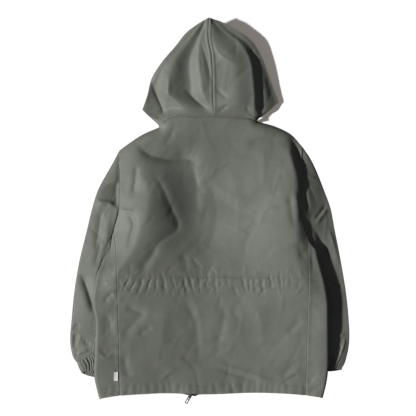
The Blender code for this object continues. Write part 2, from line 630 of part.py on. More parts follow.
def swept(name, route, profile, material, collection):
    """A closed profile (across, up) carried along a line of (x, y, z, spread across)."""
    rows = len(route)
    points = []
    for k, (x, y, z, spread) in enumerate(route):
        ahead, behind = route[min(k + 1, rows - 1)], route[max(k - 1, 0)]
        way = Vector((ahead[0] - behind[0], ahead[1] - behind[1])).normalized()
        for across, up in profile:
            shift = across + math.copysign(spread, across)
            points.append(((x - way.y * shift) * MM, (y + way.x * shift) * MM, (z + up) * MM))
    width = len(profile)
    faces = grid_faces(rows, width, closed=True)
    faces += [tuple(range(width))[::-1], tuple(range((rows - 1) * width, rows * width))]
    mesh = bpy.data.meshes.new(name)
    mesh.from_pydata(points, [], faces)
    mesh.materials.append(material)
    built = bmesh.new()
    built.from_mesh(mesh)
    bmesh.ops.recalc_face_normals(built, faces=built.faces)
    built.to_mesh(mesh)
    built.free()
    collection.objects.link(bpy.data.objects.new(name, mesh))


def make_zip_halves(material, collection):
    """Each half is a woven tape inside the front's edge, with the row of teeth as a bead along it."""
    low, high = WALL + 0.6, WALL + 1.4
    profile = [(16, low), (16, high), (2.9, high), (2.9, high + 0.8), (0.2, high + 0.8), (0.2, low - 0.8),
               (2.9, low - 0.8), (2.9, low)]
    stations = np.concatenate([np.linspace(136, 126, 3), np.linspace(120, 108, 4), np.linspace(80, -470, 18),
                               [-480, -490, -497, -500.5]])
    route = []
    for y in stations:
        x = float(zip_x(y))
        z = float(front_height(np.array([x]), np.array([y]))[0])
        route.append((x, y, z, 3.2 * float(eased((y - 114) / 9))))
    for name, sign in (("zip_tape_left", -1), ("zip_tape_right", 1)):
        swept(name, route, [(sign * a, b) for a, b in profile], material, collection)


def slab(low, high):
    """A box from corner to corner, as a bmesh in metres."""
    built = bmesh.new()
    bmesh.ops.create_cube(built, size=1.0)
    size = Vector(high) - Vector(low)
    middle = (Vector(high) + Vector(low)) / 2
    place = Matrix.Translation(middle) @ Matrix.Diagonal((*size, 1))
    bmesh.ops.transform(built, matrix=place, verts=built.verts)
    bmesh.ops.scale(built, vec=(MM, MM, MM), verts=built.verts)
    return built


def solid_of(name, boxes, holes, material, collection, cutters):
    """One solid from boxes that are joined, less the holes."""
    objects = []
    steps = [("UNION",) + box for box in boxes] + [("DIFFERENCE",) + hole for hole in holes]
    for i, (kind, low, high) in enumerate(steps):
        built = slab(low, high)
        mesh = bpy.data.meshes.new(f"{name}_{i}" if i else name)
        built.to_mesh(mesh)
        built.free()
        piece = bpy.data.objects.new(mesh.name, mesh)
        objects.append(piece)
        if i == 0:
            mesh.materials.append(material)
            collection.objects.link(piece)
            continue
        piece.hide_render = True
        piece.display_type = "WIRE"
        cutters.objects.link(piece)
        cut = objects[0].modifiers.new(f"cut {i}", "BOOLEAN")
        cut.operation = kind
        cut.object = piece
    return objects


def make_slider(end, place, metal, collection, cutters):
    """A zip slider: two plates joined by a post, with an arch below that holds the eye of the pull tab."""
    z = SLIDER_BASE
    chain_high = z + CHAIN
    boxes = [((-4.4, -6.5, z), (4.4, 6.5, z + 1.3)),
             ((-4.2, -6.2, chain_high + 0.3), (4.2, 6.2, chain_high + 1.6)),
             ((-1.3, -6.3, z + 0.6), (1.3, -3.2, chain_high + 0.9)),
             ((-0.8, -4.6, z - 3.6), (0.8, 4.6, z - 2.4)),
             ((-0.8, -4.6, z - 3.0), (0.8, -3.4, z + 0.5)),
             ((-0.8, 3.4, z - 3.0), (0.8, 4.6, z + 0.5))]
    slider = solid_of(f"slider_{end}", boxes, [], metal, collection, cutters)
    bar = z - HINGE_DROP
    tab_boxes = [((-4.2, -24, bar - 0.65), (4.2, 0.65, bar + 0.65))]
    eye, slot = ((-1.5, -10.5, bar - 3), (1.5, -0.65, bar + 3)), ((-1.7, -21.5, bar - 3), (1.7, -13, bar + 3))
    tab = solid_of(f"pull_tab_{end}", tab_boxes, [eye, slot], metal, collection, cutters)
    for piece in slider + tab:
        piece.location = (place[0] * MM, place[1] * MM, 0)
        piece.rotation_euler.z = math.radians(SLIDER_TURN[end])


def make_label(name, material, collection):
    """A blank woven label, caught in the left side-back seam and lying on the cloth beside it."""
    across = np.linspace(cloth_distance(LEFT, -258.5, -445, 1), cloth_distance(LEFT, -248.5, -445, 1), 3)
    along = np.linspace(-457, -434, 4)
    s, y = np.meshgrid(across, along)
    on_cloth = cloth_point(LEFT, s.ravel(), y.ravel())
    low, high = on_cloth + [0, 0, 0.6], on_cloth + [0, 0, 1.5]
    count = len(low)
    top = grid_faces(4, 3)
    border = [0, 1, 2, 5, 8, 11, 10, 9, 6, 3]
    faces = [tuple(c + count for c in face) for face in top] + [face[::-1] for face in top]
    faces += [(a, b, b + count, a + count) for a, b in zip(border, border[1:] + border[:1])]
    mesh = bpy.data.meshes.new(name)
    mesh.from_pydata([tuple(p * MM) for p in np.concatenate([low, high])], [], faces)
    mesh.materials.append(material)
    collection.objects.link(bpy.data.objects.new(name, mesh))


# ---- the jacket ---------------------------------------------------------------------------------------

def finish(name, colour, roughness, metallic=0.0):
    material = bpy.data.materials.new(name)
    material.use_nodes = True
    shader = material.node_tree.nodes["Principled BSDF"]
    shader.inputs["Base Color"].default_value = colour
    shader.inputs["Roughness"].default_value = roughness
    shader.inputs["Metallic"].default_value = metallic
    return material


def main():
    for thing in list(bpy.data.objects):
        bpy.data.objects.remove(thing, do_unlink=True)
    jacket = bpy.data.collections.new("field_jacket")
    cutters = bpy.data.collections.new("field_jacket_cutters")
    bpy.context.scene.collection.children.link(jacket)
    bpy.context.scene.collection.children.link(cutters)

    make_back()
    for side, end in ((LEFT, "left"), (RIGHT, "right")):
        make_front(side, f"front_{end}")
        last_ring = make_sleeve(side, f"sleeve_{end}")
        make_cuff(side, f"cuff_{end}", last_ring)
        make_hood(side, f"hood_{end}")
    normals = corner_normals()
    for name in cloth:
        make_wall(name, normals, finish(f"satin {name}", CLOTH_COLOUR, 0.7), jacket)

    make_zip_halves(finish("zip tape", (0.06, 0.065, 0.05, 1), 0.8), jacket)
    metal = finish("zip metal", BRASS_COLOUR, 0.35, 0.9)
    make_slider("top", TOP_SLIDER, metal, jacket, cutters)
    make_slider("bottom", BOTTOM_SLIDER, metal, jacket, cutters)
    make_label("side_label", finish("white label", (0.8, 0.8, 0.78, 1), 0.8), jacket)

    origin = bpy.data.objects.new("jacket_origin", None)
    jacket.objects.link(origin)
    origin.location = (-MIDDLE[0] * MM, -MIDDLE[1] * MM, 0)
    for piece in list(jacket.objects) + list(cutters.objects):
        if piece is not origin:
            piece.parent = origin
    bpy.context.view_layer.update()


main()
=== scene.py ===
"""The looks of a hooded field jacket in sage green satin that lies face down, seen from straight above.

Tables are in millimetres: X across (the wearer's left is -X), Y towards the hood, Z up from the surface.
"""

import math

import bpy
import numpy as np
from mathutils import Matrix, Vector
from mathutils.bvhtree import BVHTree
from mathutils.geometry import delaunay_2d_cdt
from mathutils.kdtree import KDTree


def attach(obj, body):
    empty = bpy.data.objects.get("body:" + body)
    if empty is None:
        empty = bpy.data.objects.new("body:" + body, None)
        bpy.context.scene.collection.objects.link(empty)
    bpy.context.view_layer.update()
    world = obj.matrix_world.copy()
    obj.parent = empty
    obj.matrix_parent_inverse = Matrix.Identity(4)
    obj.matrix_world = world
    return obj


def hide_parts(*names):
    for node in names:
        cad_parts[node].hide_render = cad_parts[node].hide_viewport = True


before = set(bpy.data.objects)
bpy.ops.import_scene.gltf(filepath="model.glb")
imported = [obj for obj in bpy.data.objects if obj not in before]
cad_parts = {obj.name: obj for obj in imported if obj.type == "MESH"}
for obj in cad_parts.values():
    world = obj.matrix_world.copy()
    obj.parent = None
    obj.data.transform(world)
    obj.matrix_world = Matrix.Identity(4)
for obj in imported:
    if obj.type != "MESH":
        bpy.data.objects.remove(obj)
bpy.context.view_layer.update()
bpy.ops.object.select_all(action="DESELECT")


# ---- The satin ----
# All cut pieces are one bolt of cotton satin: tightly woven, piece-dyed sage green and washed once. Long
# floats on the face give a soft sheen along the ridges, and washing leaves a faint crumple and paler edges.

SATIN = dict(shade="6c6f66", body="7d8076", worn="96998e")
THREAD = 1.3          # mm; the real floats are 0.3 mm apart, too fine to show, so they are drawn coarser
CRUMPLE = 16.0        # mm between the small crumples that washing leaves


def linear(colour):
    """An sRGB hex value as linear colour."""
    parts = [int(colour[i:i + 2], 16) / 255 for i in (0, 2, 4)]
    return [c / 12.92 if c <= 0.04045 else ((c + 0.055) / 1.055) ** 2.4 for c in parts] + [1.0]


def node(tree, kind, settings=None, **links):
    """Adds a node. A link is a socket name with its value, or with the output socket that feeds it."""
    added = tree.nodes.new(kind)
    for name, value in (settings or {}).items():
        setattr(added, name, value)
    for name, value in links.items():
        socket = added.inputs[int(name[1:]) if name[1:].isdigit() else name.replace("_", " ")]
        if isinstance(value, bpy.types.NodeSocket):
            tree.links.new(value, socket)
        else:
            socket.default_value = value
    return added


def surface(name, roughness, **constant):
    """A new material, its node tree and its shader, with the numbers that are the same all over."""
    material = bpy.data.materials.new(name)
    material.use_nodes = True
    tree = material.node_tree
    shader = tree.nodes["Principled BSDF"]
    shader.inputs["Roughness"].default_value = roughness
    for socket, value in constant.items():
        shader.inputs[socket.replace("_", " ")].default_value = value
    return material, tree, shader


def satin_material():
    material, tree, shader = surface("washed cotton satin", 0.58, Sheen_Weight=0.12, Sheen_Roughness=0.4,
                                     Sheen_Tint=linear("c8cac4"), Specular_IOR_Level=0.35)
    place = tree.nodes.new("ShaderNodeTexCoord")
    # Piece dye takes a little unevenly over some tens of millimetres, and yarn by yarn.
    cloud = node(tree, "ShaderNodeTexNoise", Vector=place.outputs["Object"], Scale=1 / 0.09, Detail=3.0,
                 Roughness=0.5)
    yarn = node(tree, "ShaderNodeMapping", {"vector_type": "POINT"}, Vector=place.outputs["UV"],
                Scale=(1000 / THREAD, 1000 / (THREAD * 9), 1))
    fleck = node(tree, "ShaderNodeTexNoise", Vector=yarn.outputs[0], Scale=1.0, Detail=2.0)
    amount = node(tree, "ShaderNodeMath", {"operation": "MULTIPLY_ADD"}, _0=fleck.outputs["Fac"], _1=0.34,
                  _2=cloud.outputs["Fac"])
    dye = node(tree, "ShaderNodeValToRGB", Fac=amount.outputs[0])
    ramp = dye.color_ramp
    ramp.elements[0].position, ramp.elements[0].color = 0.42, linear(SATIN["shade"])
    ramp.elements[1].position, ramp.elements[1].color = 0.92, linear(SATIN["body"])
    # Abrasion pales the turned edges.
    wear = node(tree, "ShaderNodeAttribute", {"attribute_name": "wear"})
    patchy = node(tree, "ShaderNodeMath", {"operation": "MULTIPLY"}, _0=wear.outputs["Fac"],
                  _1=fleck.outputs["Fac"])
    worn = node(tree, "ShaderNodeMix", {"data_type": "RGBA"}, Factor=patchy.outputs[0],
                _6=dye.outputs["Color"], _7=linear(SATIN["worn"]))
    tree.links.new(worn.outputs[2], shader.inputs["Base Color"])
    # The floats run in fine slanting ribs; under them lies the crumple of the wash.
    ribs = node(tree, "ShaderNodeMapping", Vector=place.outputs["UV"], Rotation=(0, 0, math.radians(62)))
    twill = node(tree, "ShaderNodeTexWave", Vector=ribs.outputs[0], Scale=1000 / THREAD / 20,
                 Distortion=0.6, Detail=1.0)
    crumple = node(tree, "ShaderNodeTexNoise", Vector=place.outputs["Object"], Scale=1000 / CRUMPLE,
                   Detail=4.0, Roughness=0.55, Distortion=0.3)
    weave = node(tree, "ShaderNodeBump", Strength=0.25, Distance=0.00012, Height=twill.outputs["Fac"])
    soft = node(tree, "ShaderNodeBump", Strength=0.5, Distance=0.0011, Height=crumple.outputs["Fac"],
                Normal=weave.outputs[0])
    tree.links.new(soft.outputs[0], shader.inputs["Normal"])
    return material


SATIN_MATERIAL = satin_material()


# ---- Back panel ----
# The one piece that faces up: cut from neck seam to hem, joined to the fronts by the side-back seams.
# It rides over the tucked sleeves in two ridges and sinks between them, gathered at the waist by a cord.

MM = 0.001
MIDDLE = np.array((-0.35, -3.1, 0))   # the middle of the outline, which is the frame's origin
LEFT, RIGHT = -1, 1
WALL = 1.2            # the cloth with its seam allowances
SEAM_INSET = 0.2      # how far a piece's edge keeps from the seam line
EDGE_ROUND = 1.6      # how far in from its edge a piece is rounded
EDGE_DEPTH = 0.6      # how far down that rounding takes it
EDGE_WEAR, WEAR_WIDTH = 0.6, 2.2   # how worn the edges are, and how far in
FINE, COARSE = 3.5, 9.0   # spacing of the points where the cloth shows and where it is hidden
OUTLINE_STEP = 3.0    # spacing of the points round an outline
ROW_STEP, ROW_OFF = 2.6, 1.7   # spacing of the points along a row of stitches, and of the rows beside it

# Where the side folds of the body run, and the height of their middle: the sides ride over the sleeves.
SIDE_FOLD = {
    LEFT: dict(y=(-510, -452, -369, -282, -250, -194, -162, -142, -60, 60, 190),
               x=(-301, -313, -311, -311, -317, -311, -304, -295, -292, -295, -300),
               mid=(9, 17, 27, 30, 30, 28, 26, 22, 12, 8, 8)),
    RIGHT: dict(y=(-510, -466, -428, -350, -282, -242, -193, -150, -113, -40, 60, 190),
                x=(306, 316, 320, 320, 319, 318, 310, 299, 290, 290, 293, 298),
                mid=(9, 14, 22, 31, 33, 33, 32, 30, 28, 18, 9, 8)),
}
FOLD_RADIUS = 8.0
TURN = FOLD_RADIUS * math.pi / 2

# The back, read across at each height Y: a ridge over each tucked sleeve and a hollow down the middle.
BACK_SECTIONS = dict(
    y=(-510, -455, -401, -347, -293, -239, -158, -104, -50, 4, 58, 112, 165, 257),
    ridge_l_x=(-270, -270, -270, -272, -275, -268, -238, -200, -178, -168, -157, -172, -165, -90),
    ridge_l_z=(16, 25, 31, 34, 38, 40, 49, 54, 58, 58, 48, 42, 35, 38),
    mid_x=(20, 60, 60, 60, 43, 13, 0, -12, -26, -34, -38, -40, -30, 5),
    mid_z=(9, 11, 14, 18, 24, 28, 27, 23, 19, 17, 16, 17, 22, 40),
    ridge_r_x=(259, 259, 246, 252, 262, 268, 238, 230, 228, 228, 226, 222, 196, 95),
    ridge_r_z=(13, 18, 26, 32, 36, 41, 48, 50, 52, 52, 49, 44, 33, 38),
)
SHOULDER = {LEFT: [(-140, 228), (-185, 208), (-219, 186), (-246, 166)],
            RIGHT: [(131, 244), (180, 230), (222, 208), (250, 177)]}
SHOULDER_MID = 15.0
SHOULDER_ROUND = 30.0
NECK_BACK = [(-140, 228), (-113, 246), (-81, 256), (-27, 257), (11, 257), (61, 255), (100, 252), (131, 244)]
ARMHOLE_BACK = {LEFT: [(-246, 166), (-245, 58), (-247, 2), (-261, -50)],
                RIGHT: [(250, 177), (248, 112), (246, 31), (247, -31), (265, -77)]}
SIDE_BACK_SEAM = {LEFT: [(-261, -50), (-254, -109), (-249, -239), (-246, -374), (-245, -496)],
                  RIGHT: [(265, -77), (265, -209), (262, -340), (261, -496)]}
HEM = dict(x=(-320, -301, -265, -184, -108, 0, 146, 235, 307, 325),
           y=(-508, -506, -500, -494, -491, -494, -491, -495, -503, -505))
HEM_DROP = 2.4        # the turned edge reaches this far below that line

# Folds of the body: height, half width on the left and on the right of the line, and the line.
BODY_FOLDS = [
    ("trough under the hood at the left", -11, 26, 13,
     [(-205, 193), (-170, 158), (-113, 142), (-57, 142), (-32, 117)]),
    ("trough down the middle of the shoulders", -3, 12, 24, [(-54, 139), (-40, 99), (-35, 31), (-30, -18)]),
    ("long trough from the shoulder blade to the waist", -3.4, 8, 13,
     [(-165, 128), (-132, 72), (-105, 12), (-86, -45), (-132, -80), (-174, -135), (-197, -155)]),
    ("ridge left of that trough", 2, 16, 22, [(-197, 139), (-165, 53), (-167, -4), (-181, -66)]),
    ("small trough beside the armhole", -4, 7, 9, [(-196, 131), (-200, 85), (-207, 34)]),
    ("crease across the left shoulder blade", 3, 5, 7, [(-246, 8), (-221, 0), (-200, 1)]),
    ("hollow under that crease", -5, 7, 9,
     [(-240, -9), (-216, -11), (-205, -28), (-211, -66), (-224, -104)]),
    ("trough under the right of the neck", -4, 12, 12, [(89, 181), (124, 188), (155, 192), (208, 198)]),
    ("ridge of the right shoulder", 3.5, 12, 14, [(205, 185), (219, 139), (227, 99)]),
    ("shade beside the right armhole", -4, 26, 7, [(232, 69), (240, 31), (246, -7), (243, -45)]),
    ("hollow right of that ridge", -13, 13, 8,
     [(213, 217), (230, 180), (240, 139), (251, 85), (256, 36), (262, -18)]),
    ("slope left of the right ridge", -3, 16, 8, [(211, 63), (216, 18), (224, -28), (235, -55)]),
    ("trough above the right seam", -2.5, 12, 12, [(227, -77), (240, -99), (254, -136)]),
    ("soft hollow in the middle of the back", -3, 26, 26, [(-14, 112), (14, 31), (5, -77), (-27, -136)]),
    ("soft ridge in the middle of the back", 1.5, 24, 24, [(32, 166), (70, 58), (76, -55), (43, -136)]),
    ("fall above the waist at the left", -4, 10, 16, [(-135, -93), (-167, -136), (-194, -163)]),
    ("fall above the waist in the middle", -2.4, 9, 12, [(-78, -109), (-65, -136), (-65, -169)]),
    ("slanting crease above the waist", -1.6, 5, 8, [(-51, -120), (-35, -142), (-19, -158)]),
    ("slope over the zip", -4, 26, 18, [(-78, -212), (-62, -247), (-43, -288), (-32, -360), (-30, -433)]),
    ("edge of that slope", 1.6, 12, 20, [(-70, -207), (-38, -252), (-23, -342), (-22, -406)]),
    ("long crease above the hem", 2.8, 7, 12,
     [(-5, -406), (59, -425), (117, -443), (164, -460), (200, -467)]),
    ("long crease's lower side", -2.6, 9, 5, [(5, -423), (57, -439), (113, -456), (157, -471)]),
    ("crease up to the right of the hem", -2.6, 9, 6, [(194, -468), (216, -455), (243, -441)]),
    ("fold above it", -2.4, 12, 9, [(189, -455), (216, -425), (243, -396)]),
    ("fold between them", 1.5, 8, 8, [(197, -463), (224, -441), (248, -423)]),
    ("soft fold at the right of the waist", -1.8, 12, 9, [(205, -331), (227, -312), (251, -290)]),
    ("fold at the left under the waist", -3.4, 13, 14,
     [(-240, -344), (-224, -323), (-205, -301), (-173, -277)]),
    ("hollow under the waist at the left", -3.5, 12, 10, [(-232, -255), (-202, -266), (-167, -282)]),
    ("short crease at the left", -2.2, 8, 9, [(-194, -336), (-176, -320), (-154, -309)]),
    ("crease across the side", -2.4, 7, 7, [(-310, -355), (-294, -374), (-281, -383), (-256, -371)]),
    ("ridge under that crease", 2, 6, 6, [(-302, -387), (-281, -393), (-259, -382)]),
    ("hollow at the left side of the seam", -2.6, 8, 16, [(-284, -269), (-270, -298), (-265, -342)]),
    ("hollow above it", -2.5, 6, 6, [(-286, -247), (-273, -228), (-259, -217)]),
    ("fold at the right side", -1.8, 8, 9, [(265, -466), (278, -452), (297, -436)]),
    ("hollow at the top of the right side", -2, 7, 8, [(273, -109), (277, -136), (275, -171)]),
    ("swell in the lower middle", 3, 26, 26, [(-122, -239), (-127, -320), (-135, -387)]),
    ("swell at the lower right", 3, 26, 26, [(108, -239), (140, -306), (140, -379)]),
    ("hollow at the left of the hem", -3, 12, 14, [(-232, -379), (-227, -417), (-216, -455)]),
    ("hollow right of the zip", -2.5, 12, 14, [(43, -239), (32, -320), (11, -390)]),
    ("soft fold in the lower back", 2, 9, 12, [(-162, -417), (-103, -404), (-40, -417)]),
    ("soft slanting fold over the middle", 1.2, 14, 18, [(5, 80), (49, 47), (108, 31)]),
    ("soft slanting fold below it", -1.2, 14, 14, [(16, 42), (59, 9), (113, -7)]),
    ("pull down from the right neck", 1.5, 10, 12, [(140, 177), (146, 123), (140, 58)]),
    ("pull from the left neck", -2.2, 8, 8, [(-92, 236), (-105, 204), (-124, 171)]),
    ("pull from the armhole at the right", -2, 7, 8, [(232, 31), (200, 15), (167, 9)]),
]

# Seams are felled: the allowance lies under the outer side in a band, held by a row of topstitching.
FELL_WIDTH, FELL_RISE = 7.0, 0.6
FELL_GROOVE, FELL_PULL = 0.6, 0.5   # how deep its stitches sink, and how far they pull the cloth
# The cord's tunnel is sewn on inside, so two rows of stitching show. It gathers the back in short puckers.
WAIST_ROWS = dict(
    x=(-320, -262, -150, 0, 150, 262, 320),
    upper=(-189, -184, -177, -178, -178, -181, -186),
    lower=(-219, -214, -207, -208, -208, -211, -216),
)
# Each pucker: where it crosses the upper and the lower row, and its depth.
PUCKERS = [(-243, -243, 1.2), (-217.6, -233, 2.2), (-197.6, -212.2, 1.8), (-180.9, -188.2, 1.8),
           (-158, -168.8, 2), (-143.1, -145.8, 1.2), (-126.4, -121.5, 1.6), (-102.6, -94, 1.2),
           (-71.6, -64.8, 2.2), (-55.4, -47, 2.2), (-29.7, -27, 1.6), (-5.9, -9.2, 1.4), (11.9, 15.9, 1.4),
           (31.1, 27.5, 1), (48.6, 51.3, 0.7), (66.2, 63.5, 0.8), (87.2, 94.5, 1.6), (106.4, 107.5, 1.3),
           (118.8, 121.5, 1.5), (137.7, 142, 1.5), (162, 166.9, 1.6), (190.1, 190.6, 1), (216, 218.7, 0.8),
           (237.6, 237.6, 0.7)]
PUCKER_HALF, PUCKER_DROP = 3.2, 1.2
WAIST_RISE, HEM_RISE = 2.0, 0.8   # how far the tunnels stand up
WAIST_GROOVE, HEM_GROOVE, GROOVE_HALF = 0.7, 0.5, 1.6   # how far their stitches sink, and how wide
HEM_TUNNEL = 24.0     # from the hem's edge up to its row of stitching
RIPPLE_HALF = 6.0

chance = np.random.default_rng(7)
RIPPLES = np.cumsum(chance.uniform(13, 27, 40)) - 330
RIPPLE_DEPTHS = chance.uniform(0.5, 1.5, 40)
RIPPLE_SLANTS = chance.uniform(-0.25, 0.25, 40)


def eased(t):
    """From 0 to 1 with soft ends."""
    t = np.clip(t, 0.0, 1.0)
    return t * t * (3.0 - 2.0 * t)


def read(stations, values, at):
    """A table's column at any station, on a smooth curve through its rows."""
    x = np.asarray(stations, float)
    v = np.asarray(values, float)
    at = np.clip(np.asarray(at, float), x[0], x[-1])
    row = np.clip(np.searchsorted(x, at) - 1, 0, len(x) - 2)
    slope = np.gradient(v, x)
    span = x[row + 1] - x[row]
    t = (at - x[row]) / span
    rise, drop = t * (1 - t) ** 2 * span, t * t * (t - 1) * span
    return v[row] * (1 - eased(t)) + v[row + 1] * eased(t) + rise * slope[row] + drop * slope[row + 1]


def run_along(points):
    """How far along a line each of its points lies."""
    return np.concatenate([[0], np.cumsum(np.linalg.norm(np.diff(points, axis=0), axis=1))])


def line(points, pieces=0, fractions=None):
    """Points on a smooth line through the given ones: evenly spaced, or at fractions of its length."""
    p = np.asarray(points, float)
    chord = run_along(p[:, :2])
    fine = np.linspace(0, chord[-1], 600)
    smooth = np.stack([read(chord, column, fine) for column in p.T], axis=1)
    run = run_along(smooth[:, :2])
    if fractions is None:
        fractions = np.linspace(0, 1, pieces + 1)
    wanted = np.asarray(fractions) * run[-1]
    return np.stack([np.interp(wanted, run, column) for column in smooth.T], axis=1)


def nearness(points, x, y):
    """Each place's distance to a line, how far along it that is, and whether the place is on its left."""
    best = np.full(np.shape(x), 1e9)
    along, left = np.zeros(np.shape(x)), np.zeros(np.shape(x), bool)
    lengths = [math.dist(a, b) for a, b in zip(points, points[1:])]
    total, passed = sum(lengths), 0.0
    for a, b, length in zip(points, points[1:], lengths):
        ux, uy = (b[0] - a[0]) / length, (b[1] - a[1]) / length
        run = np.clip((x - a[0]) * ux + (y - a[1]) * uy, 0, length)
        gap = np.hypot(x - a[0] - run * ux, y - a[1] - run * uy)
        closer = gap < best
        best = np.where(closer, gap, best)
        along = np.where(closer, (passed + run) / total, along)
        left = np.where(closer, ux * (y - a[1]) - uy * (x - a[0]) > 0, left)
        passed += length
    return best, along, left


FOLD_FADE = 0.3       # the part of its line over which a fold fades at either end


def relief(folds, x, y):
    """What a table of folds adds to the height: each has a width on either side, and fades at both ends."""
    z = np.zeros(np.shape(x))
    for _, height, left_width, right_width, points in folds:
        path = line(points, 5 * (len(points) - 1))
        reach = 3 * max(left_width, right_width)
        low, high = path.min(axis=0) - reach, path.max(axis=0) + reach
        near = (x > low[0]) & (x < high[0]) & (y > low[1]) & (y < high[1])
        if near.any():
            gap, along, left = nearness(path, x[near], y[near])
            width = np.where(left, left_width, right_width)
            fading = eased(along / FOLD_FADE) * eased((1 - along) / FOLD_FADE)
            z[near] += height * np.exp(-(gap / width) ** 1.5) * fading
    return z


def crumples(seed, count, low, high, slant, size=1.0):
    """A table of small soft creases, as washing leaves them: most run along one slant, none is the same."""
    chance = np.random.default_rng(seed)
    folds = []
    for _ in range(count):
        x, y = chance.uniform(low, high)
        angle = math.radians(slant + chance.normal(0, 38))
        reach = chance.uniform(14, 52) * size
        bow = chance.normal(0, 0.18) * reach
        way = np.array((math.cos(angle), math.sin(angle)))
        middle = np.array((x, y)) + bow * np.array((-way[1], way[0]))
        ends = [tuple((x, y) - way * reach), tuple(middle), tuple((x, y) + way * reach)]
        height = chance.choice((-1, 1)) * chance.uniform(0.35, 1.0) * min(1, reach / 35 / size)
        folds.append(("crumple", height, size * chance.uniform(4, 11), size * chance.uniform(4, 11), ends))
    return folds


BODY_CRUMPLES = (crumples(3, 230, (-300, -500), (300, 240), 55)
                 + crumples(9, 130, (-300, -226), (262, -152), 75, 0.42))


def fold_x(side, y):
    return read(SIDE_FOLD[side]["y"], SIDE_FOLD[side]["x"], y)


def fold_mid(side, y):
    return read(SIDE_FOLD[side]["y"], SIDE_FOLD[side]["mid"], y)


def waist_row(row, x):
    return read(WAIST_ROWS["x"], WAIST_ROWS[row], x)


def hem_y(x):
    return read(HEM["x"], HEM["y"], x) - HEM_DROP


SHOULDER_SEAM = {side: line(SHOULDER[side], 60) for side in (LEFT, RIGHT)}
SEAM_LINE = {side: line(SIDE_BACK_SEAM[side], 60) for side in (LEFT, RIGHT)}
SLIDERS = ((-8, 120), (-54, -502))
SLIDER_LIFT, SLIDER_REACH = 4.6, (34, 42)   # how far each holds the cloth off the surface, and how widely
SHOULDER_FROM = 90    # nothing below this height Y is near a shoulder seam


def shoulder_weight(x, y):
    """0 on a shoulder seam, 1 beyond its rounded fold."""
    near = np.full(np.shape(x), 1e9)
    high = y > SHOULDER_FROM
    for side in (LEFT, RIGHT):
        near[high] = np.minimum(near[high], nearness(SHOULDER_SEAM[side], x[high], y[high])[0])
    t = np.clip((near - 0.05) / SHOULDER_ROUND, 0, 1)
    return np.sqrt(1 - (1 - t) ** 2)


def slider_lift(x, y):
    """The zip's sliders hold the cloth up where they lie beneath it."""
    lift = np.zeros(np.shape(x))
    wide, long = SLIDER_REACH
    for at_x, at_y in SLIDERS:
        lift = lift + SLIDER_LIFT * np.exp(-((x - at_x) / wide) ** 2 - ((y - at_y) / long) ** 2)
    return lift


def gathers(x, y):
    """The tunnels at waist and hem: puckers between two rows of stitching, and ripples above the hem."""
    upper, lower = waist_row("upper", x), waist_row("lower", x)
    middle, half = (upper + lower) / 2, (upper - lower) / 2
    off = np.abs(y - middle)
    body_part = eased((300 - np.abs(x)) / 60)
    z = np.zeros(np.shape(x))
    for top_x, foot_x, depth in PUCKERS:
        pucker_x = top_x + (foot_x - top_x) * (upper - y) / (upper - lower)
        across = x - pucker_x + 0.9 * np.sin(y / 4 + depth * 9)
        breadth = PUCKER_HALF * (1 + 0.35 * math.sin(7 * top_x))
        centre, length = middle + 6 * math.sin(3 * top_x), half + 4 + 4 * math.sin(5 * top_x)
        reach = np.exp(-((y - centre) / length) ** 4)
        z -= PUCKER_DROP * depth * np.exp(-(across / breadth) ** 2) * reach
    z += WAIST_RISE * eased((half + 5 - off) / 7) * body_part
    for row in (upper, lower):
        z -= WAIST_GROOVE * np.exp(-((y - row) / GROOVE_HALF) ** 2) * eased((315 - np.abs(x)) / 10)
    rise = y - hem_y(x)
    hem_band = eased((HEM_TUNNEL + 14 - rise) / 18)
    for place, depth, slant in zip(RIPPLES, RIPPLE_DEPTHS, RIPPLE_SLANTS):
        across = x - place - slant * rise
        z -= depth * np.exp(-(across / RIPPLE_HALF) ** 2) * hem_band * eased((300 - np.abs(x)) / 40)
    z -= HEM_GROOVE * np.exp(-((rise - HEM_TUNNEL) / GROOVE_HALF) ** 2)
    return z + HEM_RISE * eased((HEM_TUNNEL - rise) / 3)


def felled(x, y):
    """The raised band beside each side-back seam, with the groove of its topstitching."""
    z = np.zeros(np.shape(x))
    for side in (LEFT, RIGHT):
        # Only places near the seam are measured.
        near = (np.abs(x - 255 * side) < 40) & (y < -40)
        gap, along, left = nearness(SEAM_LINE[side], x[near], y[near])
        outer = left if side == RIGHT else ~left
        band = np.where(outer, FELL_RISE * (1 - eased((gap - FELL_WIDTH) / 2)), 0)
        groove = FELL_GROOVE * np.exp(-((gap - FELL_WIDTH + 1) / 1.2) ** 2) * outer
        pull = FELL_PULL * np.sin(along * 46 + 3 * np.sin(along * 17)) * np.exp(-(gap / 9) ** 2)
        z[near] += (band - groove + pull) * eased((-60 - y[near]) / 90)
    return z


SIDE_RAISED, SIDE_SLOPE = 55, 45   # how far in from its side a front stays raised, and then comes down


def front_height(x, y):
    """The fronts lie beneath: flat on the surface, raised over the sleeves at the sides."""
    z = slider_lift(x, y)
    for side in (LEFT, RIGHT):
        inward = (fold_x(side, y) - x) * side
        edge = np.maximum(fold_mid(side, y) - FOLD_RADIUS, 0)
        z = z + edge * (1 - eased((inward - SIDE_RAISED) / SIDE_SLOPE))
    weight = shoulder_weight(x, y)
    return SHOULDER_MID * (1 - weight) + z * weight


NECK_GROOVE = 5.5     # the depth of the neck seam between hood and back
BACK_DIP = 0.72       # the back dips less than the hood, so its edge lies over the hood's
NECK_TUCK = 0.9       # how far the hood's edge is tucked under the back's
NECK_HALF, NECK_FADE = 3.4, 22   # how wide the groove is, and how far it takes to fade at its ends
STEEP_TOP = 1.4       # the rise to the right-hand ridge is steepest near its top
SIDE_FADE = 20        # how far from the side folds the small folds fade


